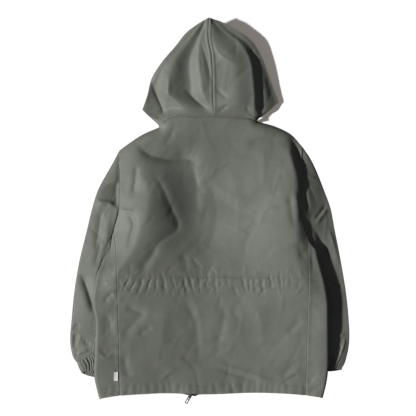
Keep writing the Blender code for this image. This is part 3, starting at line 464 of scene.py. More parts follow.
def neck_groove(x, y):
    """How far the cloth dips at the neck seam, fading towards the seam's ends."""
    gap = nearness(line(NECK_BACK, 60), x, y)[0]
    ends = eased((x - NECK_BACK[0][0]) / NECK_FADE) * eased((NECK_BACK[-1][0] - x) / NECK_FADE)
    return NECK_GROOVE * np.exp(-(gap / NECK_HALF) ** 2) * ends


def back_height(x, y):
    """Outer face of the upper side: the sections' landmarks, then the folds, gathers and felled seams."""
    b = {name: read(BACK_SECTIONS["y"], column, y) for name, column in BACK_SECTIONS.items() if name != "y"}
    knots_x = [fold_x(LEFT, y) + FOLD_RADIUS, b["ridge_l_x"], b["mid_x"], b["ridge_r_x"],
               fold_x(RIGHT, y) - FOLD_RADIUS]
    knots_z = [fold_mid(LEFT, y) + FOLD_RADIUS, b["ridge_l_z"], b["mid_z"], b["ridge_r_z"],
               fold_mid(RIGHT, y) + FOLD_RADIUS]
    z = knots_z[0] + 0.0 * x
    for k in range(4):
        t = np.clip((x - knots_x[k]) / (knots_x[k + 1] - knots_x[k]), 0, 1)
        t = eased(t ** STEEP_TOP if k == 2 else t)
        z = z + (knots_z[k + 1] - knots_z[k]) * t
    edge_room = np.minimum(x - knots_x[0], knots_x[4] - x)
    fine = relief(BODY_FOLDS + BODY_CRUMPLES, x, y) + gathers(x, y) + felled(x, y)
    z = z + fine * eased(edge_room / SIDE_FADE) + slider_lift(x, y)
    weight = shoulder_weight(x, y)
    return SHOULDER_MID * (1 - weight) + z * weight - BACK_DIP * neck_groove(x, y)


def inside(outline, x, y):
    """Which places lie inside a closed outline."""
    found = np.zeros(len(x), bool)
    for (ax, ay), (bx, by) in zip(outline, np.roll(outline, -1, axis=0)):
        crosses = (ay > y) != (by > y)
        found ^= crosses & (x < (bx - ax) * (y - ay) / (by - ay + 1e-12) + ax)
    return found


def tree_of(points):
    """A search tree over points of two or three coordinates."""
    tree = KDTree(len(points))
    for i, p in enumerate(points):
        tree.insert((*p, 0)[:3], i)
    tree.balance()
    return tree


def distance_to(tree, points):
    return np.array([tree.find((*p, 0)[:3])[2] for p in points])


def spaced(points, step):
    """The same line with its points a step apart."""
    run = run_along(points)
    wanted = np.linspace(0, run[-1], max(2, round(run[-1] / step) + 1))
    return np.stack([np.interp(wanted, run, column) for column in points.T], axis=1)


def beside(path, distance):
    """A line that runs beside another, on its left where the distance is above zero."""
    ahead = np.gradient(path, axis=0)
    ahead /= np.linalg.norm(ahead, axis=1)[:, None]
    return path + np.stack([-ahead[:, 1], ahead[:, 0]], axis=1) * distance


def cut_line(outline):
    """An outline with evenly spaced points, drawn in from the seam."""
    outline = spaced(np.concatenate([outline, outline[:1]]), OUTLINE_STEP)[:-1]
    return beside(np.concatenate([outline[-1:], outline, outline[:1]]), SEAM_INSET)[1:-1]


def filled(outline, rows, shown=None):
    """Flat triangles inside an anticlockwise outline: rows along its edge, given rows, and a grid."""
    closed = np.concatenate([outline[-1:], outline, outline[:1]])
    edge = tree_of(outline)
    kept = [outline]
    for inset in (EDGE_ROUND * 0.4, EDGE_ROUND):
        row = beside(closed, inset)[1:-1]
        kept.append(row[distance_to(edge, row) > inset * 0.9])
    for row in rows:
        row = row[inside(outline, *row.T)]
        kept.append(row[distance_to(edge, row) > EDGE_ROUND * 1.5])
    taken = tree_of(np.concatenate(kept))
    low, high = outline.min(axis=0), outline.max(axis=0)
    grids = ((FINE, True),) if shown is None else ((FINE, True), (COARSE, False))
    for step, fine in grids:
        gx, gy = np.meshgrid(np.arange(low[0], high[0], step), np.arange(low[1], high[1], step * 0.87))
        gx = gx + (np.arange(len(gx)) % 2)[:, None] * step / 2
        grid = np.column_stack([gx.ravel(), gy.ravel()])
        if shown is not None:
            grid = grid[shown(grid) == fine]
        grid = grid[inside(outline, *grid.T)]
        kept.append(grid[distance_to(taken, grid) > step * 0.55])
    points = [Vector(p) for p in np.concatenate(kept)]
    found = delaunay_2d_cdt(points, [], [list(range(len(outline)))], 1, 1e-6, True)
    flat = np.array([(p.x, p.y) for p in found[0]])
    faces = np.array([tuple(f) for f in found[2]])
    middle = flat[faces].mean(axis=1)
    return flat, faces[inside(outline, *middle.T)]


def grid_faces(rows, columns, closed=False):
    """The faces of a grid of points that are numbered row by row; a closed one goes round like a tube."""
    pairs = [(j, (j + 1) % columns) for j in range(columns if closed else columns - 1)]
    return [(i + a, i + b, i + columns + b, i + columns + a)
            for i in range(0, (rows - 1) * columns, columns) for a, b in pairs]


def grid_flat(rows, columns, long, wide):
    """Where the points of such a grid lie on the flat cloth."""
    along, across = np.meshgrid(np.linspace(0, long, rows), np.linspace(0, wide, columns), indexing="ij")
    return np.column_stack([across.ravel(), along.ravel()])


def rim_of(faces):
    """The corners on the open edges of a mesh."""
    edges = set()
    for face in faces:
        for a, b in zip(face, np.roll(face, -1)):
            edges ^= {(min(a, b), max(a, b))}
    return np.array(sorted({corner for edge in edges for corner in edge}))


def placed(name, points, faces, material):
    """A new piece in the scene, from corners in metres."""
    mesh = bpy.data.meshes.new(name)
    mesh.from_pydata(points, [], faces)
    mesh.materials.append(material)
    piece = bpy.data.objects.new(name, mesh)
    bpy.context.scene.collection.objects.link(piece)
    return piece


def applied(piece, name, kind, **settings):
    """Adds a modifier to a piece and applies it."""
    bpy.context.view_layer.objects.active = piece
    modifier = piece.modifiers.new(name, kind)
    for setting, value in settings.items():
        setattr(modifier, setting, value)
    bpy.ops.object.modifier_apply(modifier=name)


def smoothed(piece, degrees):
    piece.select_set(True)
    bpy.ops.object.shade_smooth_by_angle(angle=math.radians(degrees))
    piece.select_set(False)


def cloth(name, points, faces, flat, upward, replaced):
    """A finished piece of satin: its edge rounded and drawn in, its wall made inward, its weave laid along
    it. upward marks the corners that look up, and cut is the flat size of the cloth."""
    points, faces = np.asarray(points, float), [tuple(int(c) for c in face) for face in faces]
    mesh = bpy.data.meshes.new(name)
    mesh.from_pydata(points, [], faces)
    normals = np.zeros(len(points) * 3)
    mesh.vertex_normals.foreach_get("vector", normals)
    normals = normals.reshape(-1, 3)
    bpy.data.meshes.remove(mesh)
    if (upward * 1.0) @ normals[:, 2] < 0:
        faces = [face[::-1] for face in faces]
        normals = -normals
    gap = distance_to(tree_of(points[rim_of(faces)]), points)
    t = np.clip(gap / EDGE_ROUND, 0, 1)
    points = points - normals * (EDGE_DEPTH * (1 - np.sqrt(1 - (1 - t) ** 2)))[:, None]
    piece = placed(name, (points - MIDDLE) * MM, faces, SATIN_MATERIAL)
    mesh = piece.data
    weave = mesh.uv_layers.new(name="weave")
    corners = np.zeros(len(mesh.loops), int)
    mesh.loops.foreach_get("vertex_index", corners)
    weave.data.foreach_set("uv", (np.asarray(flat)[corners] * MM).astype(np.float32).ravel())
    wear = mesh.attributes.new("wear", "FLOAT", "POINT")
    wear.data.foreach_set("value", (EDGE_WEAR * np.exp(-(gap / WEAR_WIDTH) ** 2)).astype(np.float32))
    applied(piece, "wall", "SOLIDIFY", thickness=WALL * MM, offset=-1)
    smoothed(piece, 55)
    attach(piece, "jacket")
    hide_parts(replaced)
    return piece


def body_rows():
    """Rows of points along the stitching, so that its grooves have corners to follow."""
    across = np.arange(HEM["x"][0], -HEM["x"][0] + 1, ROW_STEP)
    rows = (waist_row("upper", across), waist_row("lower", across), hem_y(across) + HEM_TUNNEL)
    return [beside(np.column_stack([across, row]), off) for row in rows for off in (0, ROW_OFF, -ROW_OFF)]


def back_panel():
    seams = (line(ARMHOLE_BACK[LEFT], 70)[::-1], SHOULDER_SEAM[LEFT][::-1], line(NECK_BACK, 90),
             SHOULDER_SEAM[RIGHT], line(ARMHOLE_BACK[RIGHT], 80), SEAM_LINE[RIGHT])
    outline = np.concatenate([SEAM_LINE[LEFT][::-1]] + [seam[1:] for seam in seams])
    hem_x = np.linspace(SEAM_LINE[RIGHT][-1][0], SEAM_LINE[LEFT][-1][0], 170)[1:-1]
    outline = cut_line(np.concatenate([outline, np.column_stack([hem_x, hem_y(hem_x)])])[::-1])
    flat, faces = filled(outline, body_rows())
    return cloth("back", np.column_stack([flat, back_height(*flat.T)]), faces, flat, np.ones(len(flat)),
                 "back_panel")


back = back_panel()


# ---- Fronts ----
# Each front runs from its zip round the side fold to the side-back seam, so a strip of it shows beside the
# back. It lies flat on the surface, and the sleeve is tucked between it and that surface along the side.

NECK_FRONT = {LEFT: [(-140, 228), (-130, 190), (-86, 154), (-12, 139)],
              RIGHT: [(131, 244), (124, 200), (76, 154), (-2, 139)]}
NECK_STEPS = (0, 0.025, 0.07, 0.14, 0.27, 0.46, 0.7, 1.0)
UNDERARM = {LEFT: -142, RIGHT: -113}
ARMHOLE_FRONT = {LEFT: [(-266, -93), (-240, -23), (-233, 58), (-246, 166)],
                 RIGHT: [(258, -72), (235, -7), (230, 74), (250, 177)]}
ZIP_LINE = np.array([(-53, -500), (-46, -460), (-32, -320), (-16, -104), (-8, 123), (-7, 139)], float)
ZIP_HALF_GAP, ZIP_FOOT_GAP = 6.5, 9.0   # from the zip's middle to a front's edge, and at its foot


def cloth_point(side, s, y):
    """The body's cloth by its distance s from the side fold: below zero on the front, above on the back."""
    s, y = np.asarray(s, float), np.asarray(y, float)
    turned = np.clip(s, -TURN, TURN) / FOLD_RADIUS
    inward = FOLD_RADIUS * (1 - np.cos(turned)) + np.maximum(np.abs(s) - TURN, 0)
    x = fold_x(side, y) - side * inward
    nose = fold_mid(side, y) + FOLD_RADIUS * np.sin(turned)
    z = np.where(s > TURN, back_height(x, y), np.where(s < -TURN, front_height(x, y), nose))
    return np.stack([x, y, z], axis=1)


def cloth_distance(side, x, y, layer):
    """The s of a place on the back (layer 1) or the front (layer -1)."""
    inward = (fold_x(side, y) - x) * side
    return layer * (TURN + np.maximum(inward - FOLD_RADIUS, 0))


def unrolled(side, path, layer=1):
    """A line of (x, y) on the body as (s, y)."""
    return np.column_stack([cloth_distance(side, *path.T, layer), path[:, 1]])


def zip_x(y):
    return read(ZIP_LINE[:, 1], ZIP_LINE[:, 0], y)


FRONT_SHOWS = 1.2     # how far the fronts reach below the back all along
FRONT_DROPS = ((2.2, -60, 110), (7, -50, 13))   # and how much more, where, and how widely


def front_hem_y(x):
    """The lower layer shows a little below the back, most of all at the foot of the zip."""
    y = hem_y(x) - FRONT_SHOWS
    for drop, middle, half in FRONT_DROPS:
        y = y - drop * np.exp(-((x - middle) / half) ** 2)
    return y


ARMHOLE_FINE = 8      # the armhole's points are this much closer than in the frame's solids
ARMHOLE_CORNER = 7 * ARMHOLE_FINE   # the point where the side-back seam meets it


def armhole(side):
    """(s, y) round the armhole from the shoulder down the back, under the arm and up the front."""
    down = unrolled(side, line(ARMHOLE_BACK[side], ARMHOLE_CORNER))
    low = UNDERARM[side]
    route = [down[-1], (TURN * 0.9, low + 13), (0, low), (-TURN * 0.9, low + 6),
             *unrolled(side, np.array(ARMHOLE_FRONT[side], float), -1)]
    return np.concatenate([down, line(route, 2 * ARMHOLE_CORNER)[1:]])


def front_panel(side, name, replaced):
    seam = unrolled(side, SEAM_LINE[side])
    shoulder = unrolled(side, SHOULDER_SEAM[side], -1)
    neck = unrolled(side, line(NECK_FRONT[side], 60), -1)
    edge_y = np.linspace(neck[-1][1], -500, 90)
    gap = ZIP_HALF_GAP + (ZIP_FOOT_GAP - ZIP_HALF_GAP) * eased((-450 - edge_y) / 40)
    edge_x = zip_x(edge_y) + side * gap
    edge = unrolled(side, np.column_stack([edge_x, edge_y]), -1)
    edge[-1][1] = front_hem_y(edge_x[-1:])[0]
    hem_s = np.linspace(edge[-1][0], seam[-1][0], 110)[1:-1]
    hem_x = cloth_point(side, hem_s, np.full(len(hem_s), -500.0))[:, 0]
    hem = np.column_stack([hem_s, np.where(hem_s > TURN, hem_y(hem_x), front_hem_y(hem_x))])
    outline = cut_line(np.concatenate([edge, hem, seam[::-1], armhole(side)[ARMHOLE_CORNER + 1:],
                                       shoulder[::-1][1:], neck[1:-1]]))
    rows = [np.column_stack([np.full(230, s), np.linspace(-515, UNDERARM[side], 230)])
            for s in (-TURN, -TURN / 2, 0, TURN / 2, TURN)]
    rows += [seam - [FELL_WIDTH + off, 0] for off in (-2.4, -1, 0.6, 2.2)]
    rows += [unrolled(side, row[row[:, 0] * side > 245]) for row in body_rows()]
    flat, faces = filled(outline, [row for row in rows if len(row)], lambda p: p[:, 0] > -TURN - 26)
    return cloth(name, cloth_point(side, *flat.T), faces, flat, flat[:, 0] > TURN, replaced)


front_left = front_panel(LEFT, "front_of_left", "front_left")
front_right = front_panel(RIGHT, "front_of_right", "front_right")


# ---- Sleeves ----
# One piece each, seamed under the arm. They are folded down beside the body and tucked under its edge, so
# only the outer half shows, bent and creased above the elbow and bunched over the cuff.

SLEEVE_RADIUS = {LEFT: 7.0, RIGHT: 2.4}   # of the folds along both edges
LAYER_GAP = 1.8       # least air between the body and a sleeve that lies beneath it
SLEEVE_FLOOR, CUFF_FLOOR = 4.5, 5   # how low their upper halves may come
SLEEVE_OUTER = {
    LEFT: [(-246, 166), (-264, 131), (-282, 100), (-305, 57), (-319, 14), (-335, -51), (-356, -138),
           (-370, -224), (-378, -310), (-380, -332), (-378, -375), (-372, -397), (-361, -413)],
    RIGHT: [(250, 177), (273, 143), (294, 100), (311, 57), (327, 14), (340, -51), (357, -138),
            (371, -224), (379, -310), (380, -332), (377, -375), (372, -397)],
}
SLEEVE_INNER = {
    LEFT: [(-295, -142), (-296, -158), (-296, -180), (-292, -204), (-286, -239), (-278, -274),
           (-275, -309), (-281, -342), (-292, -363), (-301, -375)],
    RIGHT: [(290, -113), (289, -132), (288, -156), (285, -186), (281, -220), (275, -261),
            (275, -298), (281, -333), (292, -360), (304, -378)],
}
# The height of each sleeve's crest at fractions of its length.
SLEEVE_CREST = {
    LEFT: dict(at=(0.0, 0.1, 0.3, 0.5, 0.7, 0.85, 1.0), z=(20, 24, 28, 29, 29, 27, 23)),
    RIGHT: dict(at=(0.0, 0.1, 0.2, 0.3, 0.5, 0.7, 0.85, 1.0), z=(24, 28, 26, 16, 11, 9.5, 9.5, 16)),
}
CREST_FROM, CREST_REACH = {LEFT: 0.0, RIGHT: -0.08}, 0.12   # where it moves towards the body
SLEEVE_START = {LEFT: (0.13, 0.25), RIGHT: (0.07, 0.18)}   # how far down it keeps the armhole's height
CREST_AT = {LEFT: 0.92, RIGHT: 0.85}   # both are highest beside the body and fall away to their outer fold
SLEEVE_ROWS = 165
ARMHOLE_STEP, STEP_REACH = 2.4, 0.03   # how far it starts below the body's edge, and how soon it is level

# Folds of the sleeves, as on the body.
SLEEVE_FOLDS = {LEFT: [
    ("fold over the elbow of the shoulder", 5, 4, 13, [(-313, 34), (-294, 27), (-270, 23), (-251, 7)]),
    ("hollow above it", -10, 6, 26, [(-251, 85), (-251, 50), (-255, 9)]),
    ("hollow beside the armhole", -8, 14, 6, [(-238, 139), (-240, 99), (-248, 58)]),
    ("lit fold along the sleeve", 2, 9, 10, [(-265, 15), (-273, -23), (-278, -66), (-284, -104)]),
    ("hollow along the sleeve", -3.5, 9, 10, [(-289, 18), (-297, -20), (-305, -72), (-313, -115)]),
    ("second hollow", -2.5, 8, 8, [(-294, -72), (-302, -109), (-313, -153)]),
    ("wedge above the cuff", -9, 16, 8, [(-351, -163), (-335, -204), (-321, -247), (-313, -285)]),
    ("crease above the cuff", -3.5, 6, 4, [(-379, -320), (-367, -316), (-351, -309)]),
    ("hollow below that crease", -5, 8, 8, [(-367, -328), (-364, -352), (-370, -379)]),
    ("slanting fold to the cuff", 3, 6, 7, [(-346, -331), (-359, -358), (-375, -382)]),
    ("fold at the shoulder point", -3, 4, 4, [(-247, 143), (-238, 134), (-227, 123)]),
    ("crease near the cuff's seam", -3, 4, 6, [(-340, -347), (-332, -358), (-324, -352)]),
    ("fold into the cuff", 3, 4, 4, [(-362, -390), (-346, -379), (-327, -374)]),
], RIGHT: [
    ("hollow along the armhole", -5.5, 6, 22, [(254, 74), (259, 34), (263, -4)]),
    ("crease at the shoulder", 2, 4, 6, [(259, 101), (273, 93), (292, 96)]),
    ("crease above the elbow", -4, 5, 4, [(319, 20), (302, -1), (281, -26)]),
    ("fold below that crease", 3.5, 5, 9, [(321, 12), (305, -12), (284, -34)]),
    ("hollow under the elbow", -4, 9, 9, [(275, -34), (297, -72), (316, -109), (327, -153)]),
    ("fold along the lower sleeve", 3, 6, 8, [(319, -39), (340, -93), (356, -153)]),
    ("crease across the forearm", -3, 4, 5, [(321, -193), (346, -201), (367, -204)]),
    ("crease above the cuff", 2.5, 4, 5, [(327, -339), (346, -339), (370, -331)]),
    ("fold into the cuff", 3, 4, 5, [(370, -342), (362, -369), (351, -396)]),
    ("second fold into the cuff", -3, 4, 4, [(356, -360), (351, -385), (340, -401)]),
]}
SLEEVE_FOLDS[LEFT] += crumples(5, 40, (-380, -400), (-240, 150), 70)
SLEEVE_FOLDS[RIGHT] += crumples(6, 40, (240, -400), (380, 150), 110)


def beneath_body(side, x, y):
    """How high a sleeve may come: under the body's side, and rising beyond its edge."""
    inward = (fold_x(side, y) - x) * side
    into = np.clip(FOLD_RADIUS - inward, 0, FOLD_RADIUS)
    under_fold = fold_mid(side, y) - np.sqrt(FOLD_RADIUS ** 2 - into ** 2) + np.maximum(-inward, 0) * 3
    face = np.where(inward > FOLD_RADIUS, front_height(x, y), under_fold)
    return np.where(y < UNDERARM[side] - 4, face, 1e3)


def tucked(side, ring, upper, lowest):
    """A ring's heights, kept under the body and above the surface."""
    ceiling = beneath_body(side, ring[:, 0], ring[:, 1]) - LAYER_GAP
    return np.maximum(np.minimum(ring[:, 2], ceiling), np.where(upper, lowest, 0.0))


def flat_ring(r, outer, inner, crest, fractions, crest_at):
    """A flattened loop from the outer fold over the top to the inner fold, and back beneath."""
    width = math.dist(outer, inner)
    turn = r * math.pi / 2
    length = width - 2 * r + 2 * turn
    over = fractions <= 0.5
    a = np.where(over, fractions, 1 - fractions) * 2 * length
    first, last = a < turn, a > length - turn
    angle = np.minimum(a, length - a) / r
    bend = r * (1 - np.cos(angle))
    d = np.where(first, bend, np.where(last, width - bend, r + a - turn))
    rise = np.where(first | last, r * np.sin(angle), r)
    f = np.clip(d / width, 0, 1)
    bent = np.where(f < crest_at, 0.5 * f / crest_at, 1 - 0.5 * (1 - f) / (1 - crest_at))
    z = np.where(over, r + rise + (crest - 2 * r) * np.sin(math.pi * bent) ** 0.9, r - rise)
    return np.stack([outer[0] + (inner[0] - outer[0]) * f, outer[1] + (inner[1] - outer[1]) * f, z], axis=1)


def ring_fractions(side):
    """Where the armhole's points lie round the sleeve: 0 at the shoulder, 0.5 under the arm."""
    loop = armhole(side)
    under = int(np.argmin(np.abs(loop[ARMHOLE_CORNER:, 0]))) + ARMHOLE_CORNER
    run = run_along(loop)
    down, up = run[:under + 1] / run[under], (run[under:] - run[under]) / (run[-1] - run[under])
    return np.concatenate([down * 0.5, 0.5 + up[1:] * 0.5])


def sleeve_rings(side):
    start = cloth_point(side, *armhole(side).T)
    v = ring_fractions(side)
    away = np.abs(v - 0.5) * 2
    outer, inner = line(SLEEVE_OUTER[side], SLEEVE_ROWS), line(SLEEVE_INNER[side], SLEEVE_ROWS)
    rings = []
    for k in range(SLEEVE_ROWS + 1):
        u = k / SLEEVE_ROWS
        crest = float(read(SLEEVE_CREST[side]["at"], SLEEVE_CREST[side]["z"], u))
        crest_at = 0.5 + (CREST_AT[side] - 0.5) * eased((u - CREST_FROM[side]) / CREST_REACH)
        ring = flat_ring(SLEEVE_RADIUS[side], outer[k], inner[k], crest, v, crest_at)
        if k == 0:
            step = (start - ring)[:, :2]
        # It leaves the armhole's outline at once under the arm, and slowly towards the shoulder.
        plan = 1 - eased(u / (0.03 + 0.35 * eased(away / 0.4)))
        near, far = SLEEVE_START[side]
        height = 1 - eased(u / (near + far * away))
        ring[:, :2] += step * plan[:, None]
        ring[:, 2] = ring[:, 2] * (1 - height) + start[:, 2] * height
        # Its folds are on the upper side, and fade towards both edges.
        across = np.clip(np.minimum(v, 0.5 - v) * 2 / 0.16, 0, 1) * (v < 0.5)
        ring[:, 2] += relief(SLEEVE_FOLDS[side], ring[:, 0], ring[:, 1]) * eased(across) * eased(u / 0.05)
        if k:
            ring[:, 2] = tucked(side, ring, v <= 0.5, SLEEVE_FLOOR)
        rings.append(ring)
    rings[0] = start
    for k, ring in enumerate(rings):
        ring[:, 2] -= ARMHOLE_STEP * math.exp(-(k / SLEEVE_ROWS / STEP_REACH) ** 2)
    return rings, v


def sleeve(side, name, replaced):
    rings, v = sleeve_rings(side)
    order = np.concatenate([np.arange(ARMHOLE_CORNER, len(v) - 1), np.arange(ARMHOLE_CORNER + 1)])
    flat = grid_flat(len(rings), len(order), 600, 400)
    upper = np.tile(v[order] < 0.45, len(rings)) * (flat[:, 1] > 80)
    piece = cloth(name, np.concatenate([ring[order] for ring in rings]), grid_faces(len(rings), len(order)),
                  flat, upper, replaced)
    return piece, rings[-1], v


sleeve_left, wrist_left, round_left = sleeve(LEFT, "sleeve_of_left", "sleeve_left")
sleeve_right, wrist_right, round_right = sleeve(RIGHT, "sleeve_of_right", "sleeve_right")


# ---- Cuffs ----
# A turned casing with flat elastic in it, which gathers the satin into stiff little pleats and leaves the
# mouth open. The left mouth shows its dark inside, and its lower lip stands past the upper one.

CUFF_OUTER = {LEFT: [(-361, -413), (-355, -428), (-349, -440)],
              RIGHT: [(372, -397), (366, -415), (357, -432)]}
CUFF_INNER = {LEFT: [(-301, -375), (-293, -408), (-286, -444)],
              RIGHT: [(304, -378), (298, -403), (292, -431)]}
CUFF_LEAN = {LEFT: 10.0, RIGHT: 5.0}   # how far the lower lip stands out
CUFF_FALL = 2.5       # how far the crest drops to the mouth
CUFF_PLEATS = 21
PLEAT_DEPTH = 2.1
PLEAT_WAY = np.array([0.35, 0.35, 1.0])   # the pleats stand up more than they spread
CUFF_ROWS = 18


def cuff(side, name, replaced, first, v):
    outer, inner = line(CUFF_OUTER[side], CUFF_ROWS), line(CUFF_INNER[side], CUFF_ROWS)
    axis = outer[-1] + inner[-1] - outer[0] - inner[0]
    axis = axis / np.linalg.norm(axis)
    rings = []
    for k in range(CUFF_ROWS + 1):
        u = k / CUFF_ROWS
        crest = SLEEVE_CREST[side]["z"][-1] - CUFF_FALL * u
        ring = flat_ring(SLEEVE_RADIUS[side], outer[k], inner[k], crest, v, CREST_AT[side])
        ring = first + (ring - first) * eased(u / 0.3) if k else first.copy()
        middle = ring.mean(axis=0)
        lean = np.where(v <= 0.5, -1, 1) * np.sin(np.pi * (v % 0.5) * 2) * CUFF_LEAN[side] * u
        ring[:, :2] += lean[:, None] * axis[None, :]
        out = ring - middle
        out /= np.linalg.norm(out, axis=1)[:, None] + 1e-9
        # No two pleats are alike: their spacing and depth wander round the cuff.
        phase = CUFF_PLEATS * 2 * np.pi * v + 1.5 * np.sin(6 * u + 9 * v) + 2.2 * np.sin(17 * v)
        depth = PLEAT_DEPTH * (0.25 + 0.75 * eased(u / 0.25)) * (1 + 0.5 * np.sin(23 * v + 4))
        ring = ring + out * PLEAT_WAY * (depth * np.sin(phase))[:, None]
        if k:
            ring[:, 2] = tucked(side, ring, v <= 0.5, CUFF_FLOOR)
        rings.append(ring[:-1])
    size = len(rings), len(v) - 1
    cloth(name, np.concatenate(rings), grid_faces(*size, closed=True), grid_flat(*size, 35, 180),
          np.tile(v[:-1] < 0.45, size[0]), replaced)


cuff(LEFT, "cuff_of_left", "cuff_left", wrist_left, round_left)
cuff(RIGHT, "cuff_of_right", "cuff_right", wrist_right, round_right)


# ---- Hood ----
# Two halves with a felled centre seam, sewn to the neck and turned in a hem round the face. The hood stands
# as an open dome, one side fallen in a steep fold, and its chin edges pass under the shoulders to the zip.

HOOD_SEAM = dict(points=[(-3, 519), (-4, 464), (5, 418), (7, 377), (9, 288), (11, 257)],
                 z=[53, 52, 48, 45, 42, 40])
HOOD_RIM = {
    LEFT: dict(points=[(-3, 519), (-29, 505), (-65, 479), (-93, 446), (-132, 402), (-159, 359), (-170, 316),
                       (-184, 276), (-161, 254), (-137, 233), (-76, 190), (-12, 143)],
               z=[53, 50, 43, 34, 24, 18, 16, 12, 8, 3, 0.5, 0]),
    RIGHT: dict(points=[(-3, 519), (27, 510), (67, 490), (113, 460), (141, 415), (157, 374), (171, 337),
                        (187, 297), (158, 271), (127, 249), (62, 196), (-2, 143)],
                z=[53, 49, 42, 33, 25, 21, 16, 11.5, 7, 4, 0.5, 0]),
}
HOOD_CORNER = 7
# The dome read across at each height Y, between the rim's and the seam's own heights.
DOME = dict(
    y=(279, 315, 360, 409, 450, 490, 517),
    crease_x=(-128, -144, -146, -119, -81, -43, -15),
    crease_z=(9, 11, 24, 36, 41, 48, 52),
    bulge_x=(-65, -108, -105, -92, -62, -32, -14),
    bulge_z=(38, 38, 41, 43, 45, 51, 52),
    valley_x=(-16, -49, -57, -57, -40, -22, -11),
    valley_z=(32, 26, 28, 34, 41, 48, 52),
    ridge_x=(3, -14, -22, -27, -27, -14, -8),
    ridge_z=(40, 44, 46.5, 49, 49, 51, 53),
    peak_x=(70, 73, 70, 57, 16, 5, -1),
    peak_z=(52, 54.5, 54.5, 54, 54, 54, 54),
    brow_x=(116, 115, 111, 103, 78, 30, 5),
    brow_z=(45, 48.5, 49.5, 46.5, 45, 47, 52),
    foot_x=(143, 143, 140, 130, 108, 51, 16),
    foot_z=(25, 28, 28, 27.5, 34, 43, 50),
)

HOOD_FOLDS = [
    ("crease of the left flap", -4.5, 5, 5,
     [(-159, 355), (-151, 333), (-140, 306), (-130, 282), (-124, 250)]),
    ("edge of the lit bulge", 2.5, 7, 10,
     [(-127, 393), (-115, 360), (-112, 328), (-119, 296), (-122, 252)]),
    ("crease left of the centre seam", -2.5, 5, 7, [(-27, 460), (-16, 431), (-7, 398), (1, 366), (5, 323)]),
    ("dark crease to the neck seam", -4, 9, 7, [(-70, 333), (-46, 309), (-27, 293), (-8, 277)]),
    ("fold rising from the neck", 3, 4, 6, [(-108, 252), (-86, 261), (-54, 266), (-27, 266)]),
    ("crease right of the seam at the neck", -4, 4, 4, [(19, 263), (32, 274), (51, 284)]),
    ("crease along the neck seam", -3, 3, 4, [(32, 266), (62, 263), (97, 255), (116, 250)]),
    ("lines in the lit right", -2.5, 4, 5, [(16, 333), (32, 315), (51, 301)]),
    ("line above it", 2, 4, 6, [(8, 450), (24, 425), (43, 409), (76, 398)]),
    ("pinch at the right flap", -4, 4, 4, [(94, 282), (105, 269), (119, 252)]),
]

HOOD_CRUMPLES = crumples(8, 60, (-180, 260), (180, 510), 60)
SEAM_BAND = 1.3       # how far the stitched allowances stand up beside the centre seam
DOME_FROM, DOME_REACH = 2, 34   # how far above the neck seam the dome begins, and how soon it is whole
HOOD_FINE = 9         # rows of the fine hood for each row of the frame's solid
HOOD_COLUMNS = 58
HOOD_STEP = 3.0       # from one of those rows to the next
HOOD_EDGE = np.array([0, 0.6, 1.6, 4]) / 190   # the columns next to either edge lie closer together


def hood_half(side, name, replaced):
    seam = line([p + (z,) for p, z in zip(HOOD_SEAM["points"], HOOD_SEAM["z"])], 9 * HOOD_FINE)
    neck = line(NECK_BACK, 12 * HOOD_FINE)
    middle = int(np.argmin(np.abs(neck[:, 0] - HOOD_SEAM["points"][-1][0])))
    neck_half = neck[middle::-1] if side == LEFT else neck[middle:]
    neck_z = back_height(*neck_half.T) + BACK_DIP * neck_groove(*neck_half.T)
    neck_half = np.column_stack([neck_half - [0, NECK_TUCK], neck_z])
    steps = np.interp(np.arange(7 * HOOD_FINE + 1) / HOOD_FINE, np.arange(8), NECK_STEPS)
    front = line(NECK_FRONT[side], fractions=steps)
    front = np.column_stack([front, front_height(*front.T)])
    seam[-1] = neck_half[0]
    inner = np.concatenate([seam, neck_half[1:], front[1:]])
    rim = [p + (z,) for p, z in zip(HOOD_RIM[side]["points"], HOOD_RIM[side]["z"])]
    chin = line(rim[HOOD_CORNER:HOOD_CORNER + 3], 2 * HOOD_FINE)
    under = line(rim[HOOD_CORNER + 2:], fractions=steps)
    round_face = line(rim[:HOOD_CORNER + 1], len(inner) - len(chin) - len(under) + 1)
    outer = np.concatenate([round_face, chin[1:], under[1:]])
    outer[0], outer[-1] = inner[0], inner[-1]
    near_zip = np.arange(len(outer)) > len(outer) - 4 * HOOD_FINE
    outer[near_zip, 2] = front_height(outer[near_zip, 0], outer[near_zip, 1])
    width = np.linalg.norm(outer - inner, axis=1)
    ends = HOOD_EDGE[-1]
    t = np.concatenate([HOOD_EDGE[:-1], np.linspace(ends, 1 - ends, HOOD_COLUMNS), 1 - HOOD_EDGE[-2::-1]])
    points = inner[:, None, :] * (1 - t[None, :, None]) + outer[:, None, :] * t[None, :, None]
    points[:, :, 2] = dome_height(side, points, seam, rim)
    points = points.reshape(-1, 3)
    # The first and the last row each shrink to one point, where both halves meet.
    rows, columns = len(inner), len(t)
    faces = grid_faces(rows, columns)
    for k in range(columns - 1):
        faces[k] = (0, *faces[k][2:])
        faces[-1 - k] = (*faces[-1 - k][:2], (rows - 1) * columns)
    used = sorted({corner for face in faces for corner in face})
    place = {corner: i for i, corner in enumerate(used)}
    faces = [tuple(place[c] for c in face) for face in faces]
    along = np.repeat(np.arange(rows) * HOOD_STEP, columns)
    flat = np.column_stack([np.outer(width, t).ravel(), along])[used]
    points = points[used]
    # Only the upper layer dips at the neck seam.
    points[:, 2] -= neck_groove(points[:, 0], points[:, 1]) * (points[:, 2] > 14)
    points[:, 2] = np.maximum(points[:, 2], WALL)
    return cloth(name, points, faces, flat, points[:, 1] > 300, replaced)


